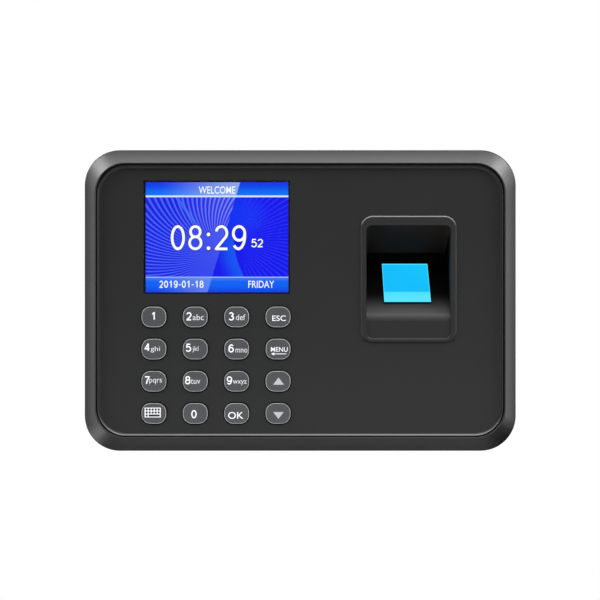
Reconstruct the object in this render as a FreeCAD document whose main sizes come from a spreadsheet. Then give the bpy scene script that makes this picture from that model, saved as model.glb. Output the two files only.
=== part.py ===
import FreeCAD, Part
import math
import os
import Sketcher

# Wall-mounted fingerprint terminal with a screen, a keypad and a finger well.
# +X is to the right, +Z is up and the front faces -Y. The origin is the centre
# of the wall plate's back, so a "level" is a distance in front of the wall and
# stands for the coordinate -Y.

DIMENSIONS = [
    # front cover
    ("case_width", 174, "front cover, left to right"),
    ("case_height", 121.4, "front cover, bottom to top"),
    ("case_depth", 36, "from the wall to the crest of the rim"),
    ("case_corner", 14.2, "outer corner radius of the front cover"),
    ("crest_width", 164.4, "outer edge of the rim's crest, left to right"),
    ("crest_height", 110.2, "outer edge of the rim's crest, bottom to top"),
    ("crest_corner", 12.2, "corner radius of the rim's crest"),
    ("crest_land", 0.4, "flat land on top of the crest"),
    ("bevel_drop", 4, "how far the bevel falls away from the crest"),
    ("panel_recess", 2, "depth of the flat panel below the crest"),
    ("panel_thickness", 2, "thickness of the flat panel"),
    ("panel_fillet", 1.7, "hollow rounding where the panel meets the rim"),
    ("groove_width", 0.5, "fine groove between the rim and the panel"),
    ("groove_depth", 1, "depth of that groove below the panel"),
    ("parting_depth", 10, "from the crest to the joint between the covers"),
    ("wall", 2.4, "wall thickness of both covers"),
    ("edge_rounding", 0.9, "rounding between the bevel and the side"),
    # screen
    ("screen_x", -33.6, "centre of the screen"),
    ("screen_z", 25.5, "centre of the screen"),
    ("screen_width", 57.6, "lit area of the screen"),
    ("screen_height", 44.4, "lit area of the screen"),
    ("screen_border", 0.6, "black edge between the lit area and the opening"),
    ("module_width", 69.2, "display module outline"),
    ("module_height", 50, "display module outline"),
    ("module_glass", 2.4, "display glass thickness"),
    ("window_sink", 0.3, "depth of the screen window below the panel"),
    ("window_flange", 2.6, "glued flange round the screen window"),
    ("window_sheet", 0.7, "thickness of the window's flange"),
    ("gasket_thickness", 0.4, "foam gasket behind the window"),
    # keypad
    ("key_first_x", -58.7, "centre of the left key column"),
    ("key_first_z", -6.6, "centre of the top key row"),
    ("key_pitch_x", 16.6, "between key columns"),
    ("key_pitch_z", 12.9, "between key rows"),
    ("key_width", 10.05, "key cap"),
    ("key_height", 8.35, "key cap"),
    ("key_corner", 3.65, "key cap corner radius"),
    ("key_gap", 0.42, "between a key cap and its hole"),
    ("key_ease", 0.45, "rounding of a key cap's top edge"),
    ("key_proud", 0.8, "how far a key stands out of the panel"),
    ("key_travel", 1, "how far a key moves when pressed"),
    ("key_flange", 1.1, "how far a key's retaining flange overlaps its hole"),
    ("flange_thickness", 1, "thickness of a key's retaining flange"),
    ("pill_radius", 2.2, "contact pill under a key"),
    ("pill_gap", 0.1, "between the board and the pill of a pressed key"),
    ("mat_thickness", 1, "silicone keypad mat"),
    ("mat_margin", 2.2, "from a key's edge to the edge of the mat"),
    ("sleeve_wall", 1.2, "sleeve round a contact pill"),
    # finger well
    ("well_x", 43.5, "centre of the finger well"),
    ("well_top", 34, "top of the well's trim"),
    ("well_bottom", -17, "bottom of the well's trim"),
    ("well_width", 38.6, "outside of the well's trim"),
    ("well_corner", 5, "corner radius of the well's trim"),
    ("trim_proud", 0.7, "how far the trim stands out of the panel"),
    ("trim_ease", 0.65, "rounding of the trim's outer edge"),
    ("scoop_width", 34, "inside of the well, left to right"),
    ("scoop_top", 30.2, "top of the opening"),
    ("scoop_bottom", -15.1, "bottom of the finger rest"),
    ("scoop_depth", 19, "from the crest to the back of the well"),
    ("scoop_corner", 2.2, "rounding along the well's inner corners"),
    ("scoop_back", 20, "height where the ceiling meets the back"),
    ("ceiling_depth", 2.6, "from the crest to where the ceiling starts to slope"),
    ("rest_depth", 1.8, "from the crest to the finger rest"),
    ("lip_rounding", 6, "rounding from the finger rest to the sensor"),
    ("well_wall", 1.2, "side wall thickness of the well"),
    ("well_shell", 1.6, "wall thickness above the ceiling and behind the finger rest"),
    # sensor
    ("sensor_tilt", 38.2, "lean of the sensor window, in degrees"),
    ("sensor_depth", 11.75, "from the crest to the window's centre"),
    ("sensor_z", 7.35, "height of the window's centre"),
    ("window_width", 18.9, "sensor window"),
    ("window_length", 20.2, "sensor window"),
    ("window_proud", 0.8, "how far the window stands out of its seat"),
    ("window_glass", 1, "thickness of the window"),
    ("window_gap", 0.2, "between the window and the moulding round it"),
    ("prism_depth", 6.5, "prism, along the window's normal"),
    ("prism_end", 5.9, "the prism's low end, along the window's normal"),
    ("prism_slope", 11.5, "the prism's sloping face, along the window"),
    ("seat_thickness", 1.2, "moulding round the sensor window"),
    ("housing_width", 23, "sensor housing"),
    ("housing_length", 22.6, "sensor housing"),
    ("housing_depth", 8.6, "sensor housing, along the window's normal"),
    ("ear_reach", 14.4, "from the window's centre to a housing screw"),
    ("ear_width", 5.2, "lug on the sensor housing"),
    ("ear_thickness", 1.6, "lug on the sensor housing"),
    ("sensor_post", 3, "moulded post for a housing screw, behind the seat"),
    ("sensor_post_radius", 2.2, "moulded post for a housing screw"),
    ("sensor_screw", 0.8, "housing screw shank radius"),
    ("sensor_screw_length", 4.2, "housing screw shank"),
    ("sensor_head_radius", 1.6, "housing screw head radius"),
    ("sensor_head", 1.2, "housing screw head"),
    ("cavity_gap", 0.3, "between the sensor housing and the window's outline"),
    ("light_board_width", 17, "sensor light board"),
    ("light_board_height", 4.6, "sensor light board, along the window's normal"),
    ("light_board_depth", 6.8, "from the window to the middle of the light board"),
    ("light_board_thickness", 1, "sensor light board"),
    ("lamp_size", 1.8, "lamp on the light board"),
    ("lamp_thickness", 0.8, "lamp on the light board"),
    ("lamp_pitch", 4, "between lamps"),
    ("lens_radius", 2.8, "camera lens barrel"),
    ("pupil_radius", 1.6, "opening of the camera lens"),
    ("lens_length", 2.2, "camera lens barrel"),
    ("lens_offset", 3.6, "camera lens, from the middle of its board"),
    ("camera_board_thickness", 1.2, "camera board"),
    ("camera_socket", 2.2, "height of the camera board's socket"),
    ("cable_radius", 0.9, "sensor cable"),
    # electronics
    ("board_left", -73, "main board's left edge"),
    ("board_right", 16, "main board's right edge"),
    ("board_bottom", -57, "main board's bottom edge"),
    ("board_top", 55, "main board's top edge"),
    ("board_thickness", 1.6, "main board"),
    ("post_radius", 2.1, "moulded post for a board screw"),
    ("board_screw", 1, "board screw shank radius"),
    ("board_screw_length", 5.4, "board screw shank"),
    ("board_head_radius", 2, "board screw head radius"),
    ("board_head", 1.3, "board screw head"),
    ("post_inset", 3, "board screw, from the board's side edges"),
    ("tight_inset", 2.3, "the board screw beside the display, from the side edge"),
    ("post_top_inset", 2.7, "board screw, from the board's top edge"),
    ("post_bottom_inset", 3.5, "board screw, from the board's bottom edge"),
    ("thread_gap", 0.05, "between a screw's shank and the bore that it cuts into"),
    ("bore_roof", 0.9, "plastic left between the end of a bore and the panel's back"),
    ("chip_thickness", 1.5, "chip, with the gap under it"),
    ("chip_standoff", 0.15, "gap under a chip"),
    ("leg_reach", 1, "chip leg"),
    ("leg_thickness", 0.3, "chip leg"),
    ("cell_radius", 8, "coin cell"),
    ("cell_thickness", 3.2, "coin cell"),
    ("holder_radius", 9.2, "coin cell holder"),
    ("holder_thickness", 4.2, "coin cell holder"),
    ("socket_height", 3.4, "lead sockets on the board"),
    ("port_sink", 0.4, "how far the ports lie inside the bottom face"),
    # back cover and wall plate
    ("back_inset", 0.8, "how far the back cover lies inside the front cover"),
    ("back_gap", 1, "between the back cover and the wall"),
    ("back_rounding", 3.5, "rounding of the back cover's rear edge"),
    ("boss_x", 77.2, "case screw, from the middle"),
    ("boss_z", 51.2, "case screw, from the middle"),
    ("boss_radius", 3.5, "moulded boss for a case screw"),
    ("case_screw", 1.4, "case screw shank radius"),
    ("head_radius", 2.7, "case screw head radius"),
    ("head_thickness", 1.8, "case screw head"),
    ("head_seat", 12, "from the wall to the seat of a case screw's head"),
    ("plate_width", 100, "wall plate"),
    ("plate_height", 108, "wall plate"),
    ("plate_thickness", 1.5, "wall plate"),
    ("plate_corner", 4, "corner radius of the wall plate"),
    ("plate_play", 0.3, "gap between the wall plate and its recess"),
    ("plate_gap", 2, "between the wall plate and the recess floor"),
    ("lock_depth", 8.5, "from the wall to the lock screw"),
    ("plate_spacing_x", 80, "between the wall plate's screw holes"),
    ("plate_spacing_z", 70, "between the wall plate's screw holes"),
    ("plate_hole", 2.25, "wall plate's screw hole radius"),
    ("hook_x", 36, "wall plate's hooks, from the middle"),
    ("hook_z", 44, "wall plate's hooks"),
    ("hook_width", 10, "wall plate's hooks"),
    ("hook_reach", 5, "lip of a hook above its stem"),
    ("hook_gap", 0.4, "between a hook's lip and the floor that it holds"),
    ("slot_play", 0.5, "gap beside a hook in its slot"),
    ("lock_width", 8, "lock tab"),
    ("lock_screw", 1.4, "lock screw shank radius"),
    ("lock_screw_length", 7, "lock screw shank"),
    ("lock_sink", 1.4, "how far the lock screw's seat lies inside the bottom face"),
    ("lock_x", 30, "lock tab and its screw"),
    ("speaker_x", 66, "speaker centre"),
    ("speaker_z", -30, "speaker centre"),
    ("speaker_radius", 12, "speaker frame"),
    ("basket_height", 3.4, "speaker basket"),
    ("basket_wall", 1.4, "speaker basket"),
    ("basket_floor", 0.8, "speaker basket, behind the magnet"),
    ("magnet_radius", 6.5, "speaker magnet"),
    ("magnet_height", 1.9, "speaker magnet, with what sinks into the basket"),
    ("cone_thickness", 0.4, "speaker cone"),
    ("dome_radius", 4, "speaker dome"),
    ("lead_radius", 0.5, "speaker lead"),
    ("grille_pitch", 2.9, "between the slots behind the speaker"),
    ("grille_slot", 1.4, "height of a slot"),
    ("grille_margin", 2.5, "from the ends of the slots to the speaker's edge"),
    ("clearance", 0.3, "gap between pieces that don't touch"),
]

KEY_NAMES = [
    ["key_1", "key_2", "key_3", "key_esc"],
    ["key_4", "key_5", "key_6", "key_menu"],
    ["key_7", "key_8", "key_9", "key_up"],
    ["key_input", "key_0", "key_ok", "key_down"],
]

SMALLEST_CUT = 0.001  # mm3: a pocket that takes less than this points away from its solid
OVERSHOOT = 0.5  # how far a through cut runs past both faces
CROSS_WIDTH = 0.5  # slots of a screw's cross recess
CROSS_REACH = 0.6  # half the recess, as a share of the head's radius
CROSS_FLOOR = 0.45  # what the recess leaves, as a share of the head's thickness
CUTTER_REACH = 5  # how far the well's cutter runs out in front of the crest
SKETCH_SHIFT = 100  # keeps every coordinate of a side outline positive
V = FreeCAD.Vector
doc = FreeCAD.newDocument("Terminal")
sheet = doc.addObject("Spreadsheet::Sheet", "Dims")
pieces = []


class Size:
    """A length that carries both its value and the sheet expression that drives it."""

    def __init__(self, value, text):
        self.value = value
        self.text = text

    def __add__(self, other):
        other = size(other)
        return Size(self.value + other.value, f"({self.text} + {other.text})")

    def __sub__(self, other):
        other = size(other)
        return Size(self.value - other.value, f"({self.text} - {other.text})")

    def __mul__(self, other):
        other = size(other)
        return Size(self.value * other.value, f"({self.text} * {other.text})")

    def __truediv__(self, other):
        other = size(other)
        return Size(self.value / other.value, f"({self.text} / {other.text})")

    def __radd__(self, other):
        return size(other) + self

    def __rsub__(self, other):
        return size(other) - self

    def __rmul__(self, other):
        return size(other) * self

    def __neg__(self):
        return size(0) - self


def size(number):
    """Any number as a Size."""
    if isinstance(number, Size):
        return number
    return Size(float(number), f"({float(number):.6g})")


def sine(angle):
    return Size(math.sin(math.radians(angle.value)), f"sin({angle.text} * 1 deg)")


def cosine(angle):
    return Size(math.cos(math.radians(angle.value)), f"cos({angle.text} * 1 deg)")


def read_dimensions():
    """Fill the sheet and return its cells by name."""
    cells = {}
    for row, (alias, value, meaning) in enumerate(DIMENSIONS, 1):
        sheet.set(f"A{row}", meaning)
        sheet.set(f"B{row}", str(value))
        sheet.setAlias(f"B{row}", alias)
        cells[alias] = Size(value, f"Dims.{alias}")
    doc.recompute()
    return cells


D = read_dimensions()

PANEL_FRONT = D["case_depth"] - D["panel_recess"]
PANEL_BACK = PANEL_FRONT - D["panel_thickness"]
PARTING = D["case_depth"] - D["parting_depth"]
BOARD_FRONT = PARTING
BOARD_BACK = BOARD_FRONT - D["board_thickness"]
BACK_WIDTH = D["case_width"] - 2 * D["back_inset"]
BACK_HEIGHT = D["case_height"] - 2 * D["back_inset"]
BACK_CORNER = D["case_corner"] - D["back_inset"]
FLOOR = D["back_gap"] + D["wall"]
RECESS_FLOOR = D["plate_thickness"] + D["plate_gap"]
RAISED_FLOOR = RECESS_FLOOR + D["wall"]
GLASS_FRONT = PANEL_BACK - D["window_sheet"] - D["gasket_thickness"]
GLASS_BACK = GLASS_FRONT - D["module_glass"]


# ---------------------------------------------------------------- helpers

def bind(target, path, length):
    """Drive one property of an object from the sheet."""
    target.setExpression(path, size(length).text)


def place(target, x=0, level=0, z=0):
    """Drive an object's position from the sheet."""
    bind(target, "Placement.Base.x", x)
    bind(target, "Placement.Base.y", -size(level))
    bind(target, "Placement.Base.z", z)


def keep(target, label):
    """Register a finished sub-part under the name of its file."""
    target.Label = label
    pieces.append(target)
    return target


def new_body(name):
    return doc.addObject("PartDesign::Body", name)


def new_sketch(body, name, role, x=0, y=0, level=0):
    """A sketch on one of the body's own planes, shifted in the plane and off it."""
    sketch = body.newObject("Sketcher::SketchObject", name)
    origin = [f for f in body.Origin.OriginFeatures if f.Role == role][0]
    sketch.AttachmentSupport = [(origin, "")]
    sketch.MapMode = "FlatFace"
    bind(sketch, "AttachmentOffset.Base.x", x)
    bind(sketch, "AttachmentOffset.Base.y", y)
    bind(sketch, "AttachmentOffset.Base.z", level)
    return sketch


def constrain(sketch, kind, *where, length=None):
    """Add a constraint, driven from the sheet where it has a length."""
    if length is None:
        return sketch.addConstraint(Sketcher.Constraint(kind, *where))
    index = sketch.addConstraint(Sketcher.Constraint(kind, *where, size(length).value))
    bind(sketch, f"Constraints[{index}]", length)
    return index


def draw_rounded(sketch, width, height, radius):
    """A rectangle with round corners, centred on the sketch's origin."""
    half_width = size(width).value / 2
    half_height = size(height).value / 2
    r = size(radius).value
    centres = [(1, 1), (-1, 1), (-1, -1), (1, -1)]
    arcs = []
    for quarter, (sx, sy) in enumerate(centres):
        centre = V(sx * (half_width - r), sy * (half_height - r), 0)
        circle = Part.Circle(centre, V(0, 0, 1), r)
        start = quarter * math.pi / 2
        arcs.append(Part.ArcOfCircle(circle, start, start + math.pi / 2))
    first = sketch.GeometryCount
    for arc in arcs:
        sketch.addGeometry(arc)
    for i in range(4):
        following = arcs[(i + 1) % 4]
        sketch.addGeometry(Part.LineSegment(arcs[i].EndPoint, following.StartPoint))
    for i in range(4):
        line = first + 4 + i
        constrain(sketch, "Tangent", first + i, 2, line, 1)
        constrain(sketch, "Tangent", line, 2, first + (i + 1) % 4, 1)
        constrain(sketch, "Horizontal" if i % 2 == 0 else "Vertical", line)
    for i in (1, 2, 3):
        constrain(sketch, "Equal", first, first + i)
    constrain(sketch, "Radius", first, length=radius)
    constrain(sketch, "Symmetric", first, 3, first + 2, 3, -1, 1)
    constrain(sketch, "DistanceX", first + 5, 1, first + 7, 1, length=width)
    constrain(sketch, "DistanceY", first + 6, 1, first + 4, 1, length=height)


def draw_circle(sketch, radius):
    """A circle round the sketch's origin."""
    sketch.addGeometry(Part.Circle(V(0, 0, 0), V(0, 0, 1), size(radius).value))
    constrain(sketch, "Coincident", 0, 3, -1, 1)
    constrain(sketch, "Radius", 0, length=radius)


def draw_polygon(sketch, corners):
    """A closed outline through corners whose coordinates are all positive."""
    points = [V(size(x).value, size(y).value, 0) for x, y in corners]
    for i, start in enumerate(points):
        sketch.addGeometry(Part.LineSegment(start, points[(i + 1) % len(points)]))
    for i, (x, y) in enumerate(corners):
        constrain(sketch, "Coincident", i, 2, (i + 1) % len(points), 1)
        constrain(sketch, "DistanceX", -1, 1, i, 1, length=x)
        constrain(sketch, "DistanceY", -1, 1, i, 1, length=y)


def pad(body, sketch, length, middle=False):
    """Add material from the sketch, towards the front for a sketch facing it."""
    feature = body.newObject("PartDesign::Pad", sketch.Name + "Pad")
    feature.Profile = sketch
    bind(feature, "Length", length)
    if middle:
        feature.SideType = "Symmetric"
    return feature


def pocket(body, sketch, length, forwards=False):
    """Cut from the sketch towards the wall, or towards the front."""
    feature = body.newObject("PartDesign::Pocket", sketch.Name + "Pocket")
    feature.Profile = sketch
    feature.Reversed = forwards
    bind(feature, "Length", length)
    doc.recompute()
    if feature.BaseFeature.Shape.Volume - feature.Shape.Volume < SMALLEST_CUT:
        raise ValueError(f"{feature.Name} cuts nothing")
    return feature


def rounded_pad(body, name, start, end, width, height, radius, x=0, z=0):
    """A rounded block between two levels."""
    sketch = new_sketch(body, name, "XZ_Plane", x, z, start)
    draw_rounded(sketch, width, height, radius)
    return pad(body, sketch, size(end) - start)


def rounded_pocket(body, name, start, end, width, height, radius, x=0, z=0):
    """A rounded hole between two levels, cut forwards from the lower one."""
    sketch = new_sketch(body, name, "XZ_Plane", x, z, start)
    draw_rounded(sketch, width, height, radius)
    return pocket(body, sketch, size(end) - start, forwards=True)


def round_pad(body, name, start, end, radius, x=0, z=0):
    """A cylinder between two levels."""
    sketch = new_sketch(body, name, "XZ_Plane", x, z, start)
    draw_circle(sketch, radius)
    return pad(body, sketch, size(end) - start)


def round_pocket(body, name, start, end, radius, x=0, z=0):
    """A round hole between two levels."""
    sketch = new_sketch(body, name, "XZ_Plane", x, z, start)
    draw_circle(sketch, radius)
    return pocket(body, sketch, size(end) - start, forwards=True)


def round_off(body, name, radius, wanted):
    """Fillet every edge of the body whose box passes the test."""
    doc.recompute()
    base = body.Tip
    edges = [
        f"Edge{i}"
        for i, edge in enumerate(base.Shape.Edges, 1)
        if wanted(edge.BoundBox)
    ]
    if not edges:
        raise ValueError(f"{name} finds no edge")
    feature = body.newObject("PartDesign::Fillet", name)
    feature.Base = (base, edges)
    bind(feature, "Radius", radius)
    doc.recompute()
    return feature


def at_level(box, level):
    """True for an edge that lies flat at one level."""
    value = -size(level).value
    return abs(box.YMin - value) < 1e-3 and abs(box.YMax - value) < 1e-3


def block(name, low, high):
    """A box between two corners given as (x, level, z)."""
    box = doc.addObject("Part::Box", name)
    spans = [size(b) - a for a, b in zip(low, high)]
    bind(box, "Length", spans[0])
    bind(box, "Width", spans[1])
    bind(box, "Height", spans[2])
    place(box, low[0], high[1], low[2])
    return box


def local_block(name, centre, spans):
    """A box by its centre and its three spans, in the frame of what holds it."""
    box = doc.addObject("Part::Box", name)
    for prop, span in zip(("Length", "Width", "Height"), spans):
        bind(box, prop, span)
    for axis, middle, span in zip("xyz", centre, spans):
        bind(box, f"Placement.Base.{axis}", size(middle) - size(span) / 2)
    return box


AXIS_TURNS = {
    "wall": FreeCAD.Rotation(V(1, 0, 0), -90),
    "front": FreeCAD.Rotation(V(1, 0, 0), 90),
    "up": FreeCAD.Rotation(),
    "right": FreeCAD.Rotation(V(0, 1, 0), 90),
}


def rod(name, x, level, z, radius, length, way="wall"):
    """A cylinder that starts at a point and runs towards the wall, front, top or right."""
    cylinder = doc.addObject("Part::Cylinder", name)
    cylinder.Placement = FreeCAD.Placement(V(0, 0, 0), AXIS_TURNS[way])
    bind(cylinder, "Radius", radius)
    bind(cylinder, "Height", length)
    place(cylinder, x, level, z)
    return cylinder


def local_rod(name, centre, radius, length):
    """A cylinder along the local normal, starting at its centre point."""
    cylinder = doc.addObject("Part::Cylinder", name)
    bind(cylinder, "Radius", radius)
    bind(cylinder, "Height", length)
    for axis, value in zip("xyz", centre):
        bind(cylinder, f"Placement.Base.{axis}", value)
    return cylinder


def fuse(name, shapes):
    joined = doc.addObject("Part::MultiFuse", name)
    joined.Shapes = shapes
    joined.Refine = True
    return joined


def cut(name, base, tools):
    """The base without its tools."""
    result = doc.addObject("Part::Cut", name)
    result.Base = base
    result.Tool = tools[0] if len(tools) == 1 else fuse(name + "Tools", tools)
    return result


def group(name, members):
    """Separate solids that share one file."""
    compound = doc.addObject("Part::Compound", name)
    compound.Links = members
    return compound


def tilt(target):
    """Carry a piece made in the sensor's own frame to its place behind the window."""
    target.Placement = FreeCAD.Placement(V(0, 0, 0), FreeCAD.Rotation(V(1, 0, 0), 51.8))
    bind(target, "Placement.Rotation.Angle", 90 - D["sensor_tilt"])
    place(target, D["well_x"], D["case_depth"] - D["sensor_depth"], D["sensor_z"])
    return target


def smooth_route(points, share=0.45):
    """A wire of straight runs joined by tangent arcs through a list of corners."""
    edges = []
    start = points[0]
    for before, corner, after in zip(points, points[1:], points[2:]):
        arriving = (corner - before).normalize()
        leaving = (after - corner).normalize()
        shorter = min((corner - before).Length, (after - corner).Length)
        reach = share * shorter
        first = corner - arriving * reach
        last = corner + leaving * reach
        turn = arriving.getAngle(leaving)
        middle_pull = reach * (1 / math.cos(turn / 2) - 1) / math.tan(turn / 2)
        towards = (leaving - arriving).normalize()
        middle = corner + towards * middle_pull
        if (first - start).Length > 1e-6:
            edges.append(Part.LineSegment(start, first).toShape())
        edges.append(Part.Arc(first, middle, last).toShape())
        start = last
    edges.append(Part.LineSegment(start, points[-1]).toShape())
    return Part.Wire(edges)


def lead(route, radius):
    """A round lead along a smooth route."""
    path = smooth_route(route)
    direction = route[1] - route[0]
    section = Part.Wire(Part.Circle(route[0], direction, radius).toShape())
    return path.makePipeShell([section], True, True)


# ---------------------------------------------------------------- covers

BOSSES = [(sx * D["boss_x"], sz * D["boss_z"]) for sx in (-1, 1) for sz in (-1, 1)]
BOARD_SCREWS = [
    (D["board_left"] + D["tight_inset"], D["board_top"] - D["post_top_inset"]),
    (D["board_right"] - D["post_inset"], D["board_top"] - D["post_top_inset"]),
    (D["board_left"] + D["post_inset"], D["board_bottom"] + D["post_bottom_inset"]),
    (D["board_right"] - D["post_inset"], D["board_bottom"] + D["post_bottom_inset"]),
]
KEY_PLACES = [
    (name, D["key_first_x"] + column * D["key_pitch_x"], D["key_first_z"] - row * D["key_pitch_z"])
    for row, names in enumerate(KEY_NAMES)
    for column, name in enumerate(names)
]
OPENING_WIDTH = D["screen_width"] + 2 * D["screen_border"]
OPENING_HEIGHT = D["screen_height"] + 2 * D["screen_border"]
OPENING_CORNER = 0.3
CASE_BOTTOM = -(BACK_HEIGHT / 2)
PORT_FACE = CASE_BOTTOM + D["port_sink"]
JACK = {"x": -55, "width": 16, "tall": 13.4, "long": 21, "wall": 2.1, "deep": 13.5}
USB = {"x": -28, "width": 13.2, "tall": 7, "long": 14, "wall": 0.5, "deep": 12}
POWER = {"x": -5, "width": 9, "tall": 11, "long": 14}
RESET_X = 6.8
RESET_LEVEL = BOARD_BACK - 2
PIN_HOLE = 0.8
SOCKET_X = 8
SENSOR_SOCKET_Z = -6
SPEAKER_SOCKET_Z = -33
LEAD_GAP = 0.1
GRILLE_SLOTS = 7
LOCK_TAB_Z = -(D["plate_height"] / 2) + D["plate_thickness"] / 2


def make_front_cover():
    """The front moulding: bevelled rim, sunken panel and its openings."""
    body = new_body("FrontCover")
    bevel_foot = D["case_depth"] - D["bevel_drop"]
    rounded_pad(
        body, "FrontSide", PARTING, bevel_foot,
        D["case_width"], D["case_height"], D["case_corner"],
    )
    foot = new_sketch(body, "BevelFoot", "XZ_Plane", level=bevel_foot)
    draw_rounded(foot, D["case_width"], D["case_height"], D["case_corner"])
    crest = new_sketch(body, "BevelCrest", "XZ_Plane", level=D["case_depth"])
    draw_rounded(crest, D["crest_width"], D["crest_height"], D["crest_corner"])
    bevel = body.newObject("PartDesign::AdditiveLoft", "Bevel")
    bevel.Profile = foot
    bevel.Sections = [crest]
    bevel.Ruled = True
    round_off(body, "SideRounding", D["edge_rounding"], lambda box: at_level(box, bevel_foot))
    panel_width = D["crest_width"] - 2 * D["crest_land"]
    panel_height = D["crest_height"] - 2 * D["crest_land"]
    panel_corner = D["crest_corner"] - D["crest_land"]
    rounded_pocket(body, "PanelRecess", PANEL_FRONT, D["case_depth"] + OVERSHOOT,
                   panel_width, panel_height, panel_corner)
    round_off(body, "PanelHollow", D["panel_fillet"], lambda box: at_level(box, PANEL_FRONT))
    round_off(body, "CrestEase", D["crest_land"] / 2, lambda box: at_level(box, D["case_depth"]))
    groove = new_sketch(body, "RimGroove", "XZ_Plane", level=PANEL_FRONT - D["groove_depth"])
    draw_rounded(groove, panel_width, panel_height, panel_corner)
    draw_rounded(groove, panel_width - 2 * D["groove_width"],
                 panel_height - 2 * D["groove_width"], panel_corner - D["groove_width"])
    pocket(body, groove, D["groove_depth"] + D["panel_fillet"], forwards=True)
    rounded_pocket(
        body, "FrontInside", PARTING, PANEL_BACK,
        D["case_width"] - 2 * D["wall"], D["case_height"] - 2 * D["wall"],
        D["case_corner"] - D["wall"],
    )
    through = (PANEL_BACK - OVERSHOOT, PANEL_FRONT + OVERSHOOT)
    rounded_pocket(
        body, "ScreenOpening", *through, OPENING_WIDTH, OPENING_HEIGHT, OPENING_CORNER,
        D["screen_x"], D["screen_z"],
    )
    for name, x, z in KEY_PLACES:
        rounded_pocket(
            body, "HoleFor_" + name, *through,
            D["key_width"] + 2 * D["key_gap"], D["key_height"] + 2 * D["key_gap"],
            D["key_corner"] + D["key_gap"], x, z,
        )
    shell_top = D["scoop_top"] + D["well_shell"]
    shell_bottom = D["scoop_bottom"] - D["well_wall"]
    rounded_pocket(
        body, "WellOpening", *through,
        D["scoop_width"] + 2 * D["well_wall"] + D["clearance"],
        shell_top - shell_bottom + D["clearance"], OPENING_CORNER,
        D["well_x"], (shell_top + shell_bottom) / 2,
    )
    for i, (x, z) in enumerate(BOSSES):
        round_pad(body, f"FrontBoss{i}", PARTING, PANEL_BACK, D["boss_radius"], x, z)
        round_pocket(body, f"BossBore{i}", PARTING - OVERSHOOT, PANEL_BACK - D["bore_roof"],
                     D["case_screw"] + D["thread_gap"], x, z)
    for i, (x, z) in enumerate(BOARD_SCREWS):
        round_pad(body, f"BoardPost{i}", BOARD_FRONT, PANEL_BACK, D["post_radius"], x, z)
        round_pocket(body, f"PostBore{i}", BOARD_FRONT - OVERSHOOT, PANEL_BACK - D["bore_roof"],
                     D["board_screw"] + D["thread_gap"], x, z)
    keep(body, "front_cover")


def port_hole(name, port):
    """The hole in the bottom wall for one port."""
    gap = D["clearance"]
    half = size(port["width"]) / 2 + gap
    return block(
        name,
        (port["x"] - half, BOARD_BACK - port["tall"] - gap, CASE_BOTTOM - OVERSHOOT),
        (port["x"] + half, BOARD_BACK + gap, CASE_BOTTOM + D["wall"] + OVERSHOOT),
    )


def hook_slots():
    """Slots in the recessed floor for the wall plate's two hooks."""
    play = D["slot_play"]
    return [
        block(
            "SlotFor" + name,
            (x - half - play, RECESS_FLOOR - OVERSHOOT, z - D["plate_thickness"] - play),
            (x + half + play, RAISED_FLOOR + OVERSHOOT, z + D["hook_reach"] - 2 * play),
        )
        for name, x, z, half in hook_places()
    ]


def hook_places():
    """Name, centre and half width of each hook on the wall plate."""
    half = D["hook_width"] / 2
    return [
        ("HookLeft", -D["hook_x"], D["hook_z"], half),
        ("HookRight", D["hook_x"], D["hook_z"], half),
    ]


def speaker_grille():
    """Slots in the rear wall behind the speaker, shorter towards top and bottom."""
    slots = []
    reach = (D["speaker_radius"] - D["grille_margin"]).value
    for i in range(GRILLE_SLOTS):
        rise = (i - (GRILLE_SLOTS - 1) / 2) * D["grille_pitch"]
        half = math.sqrt(reach ** 2 - rise.value ** 2)
        z = D["speaker_z"] + rise
        slots.append(
            block(
                f"GrilleSlot{i}",
                (D["speaker_x"] - half, D["back_gap"] - OVERSHOOT, z - D["grille_slot"] / 2),
                (D["speaker_x"] + half, FLOOR + OVERSHOOT, z + D["grille_slot"] / 2),
            )
        )
    return slots


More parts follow.
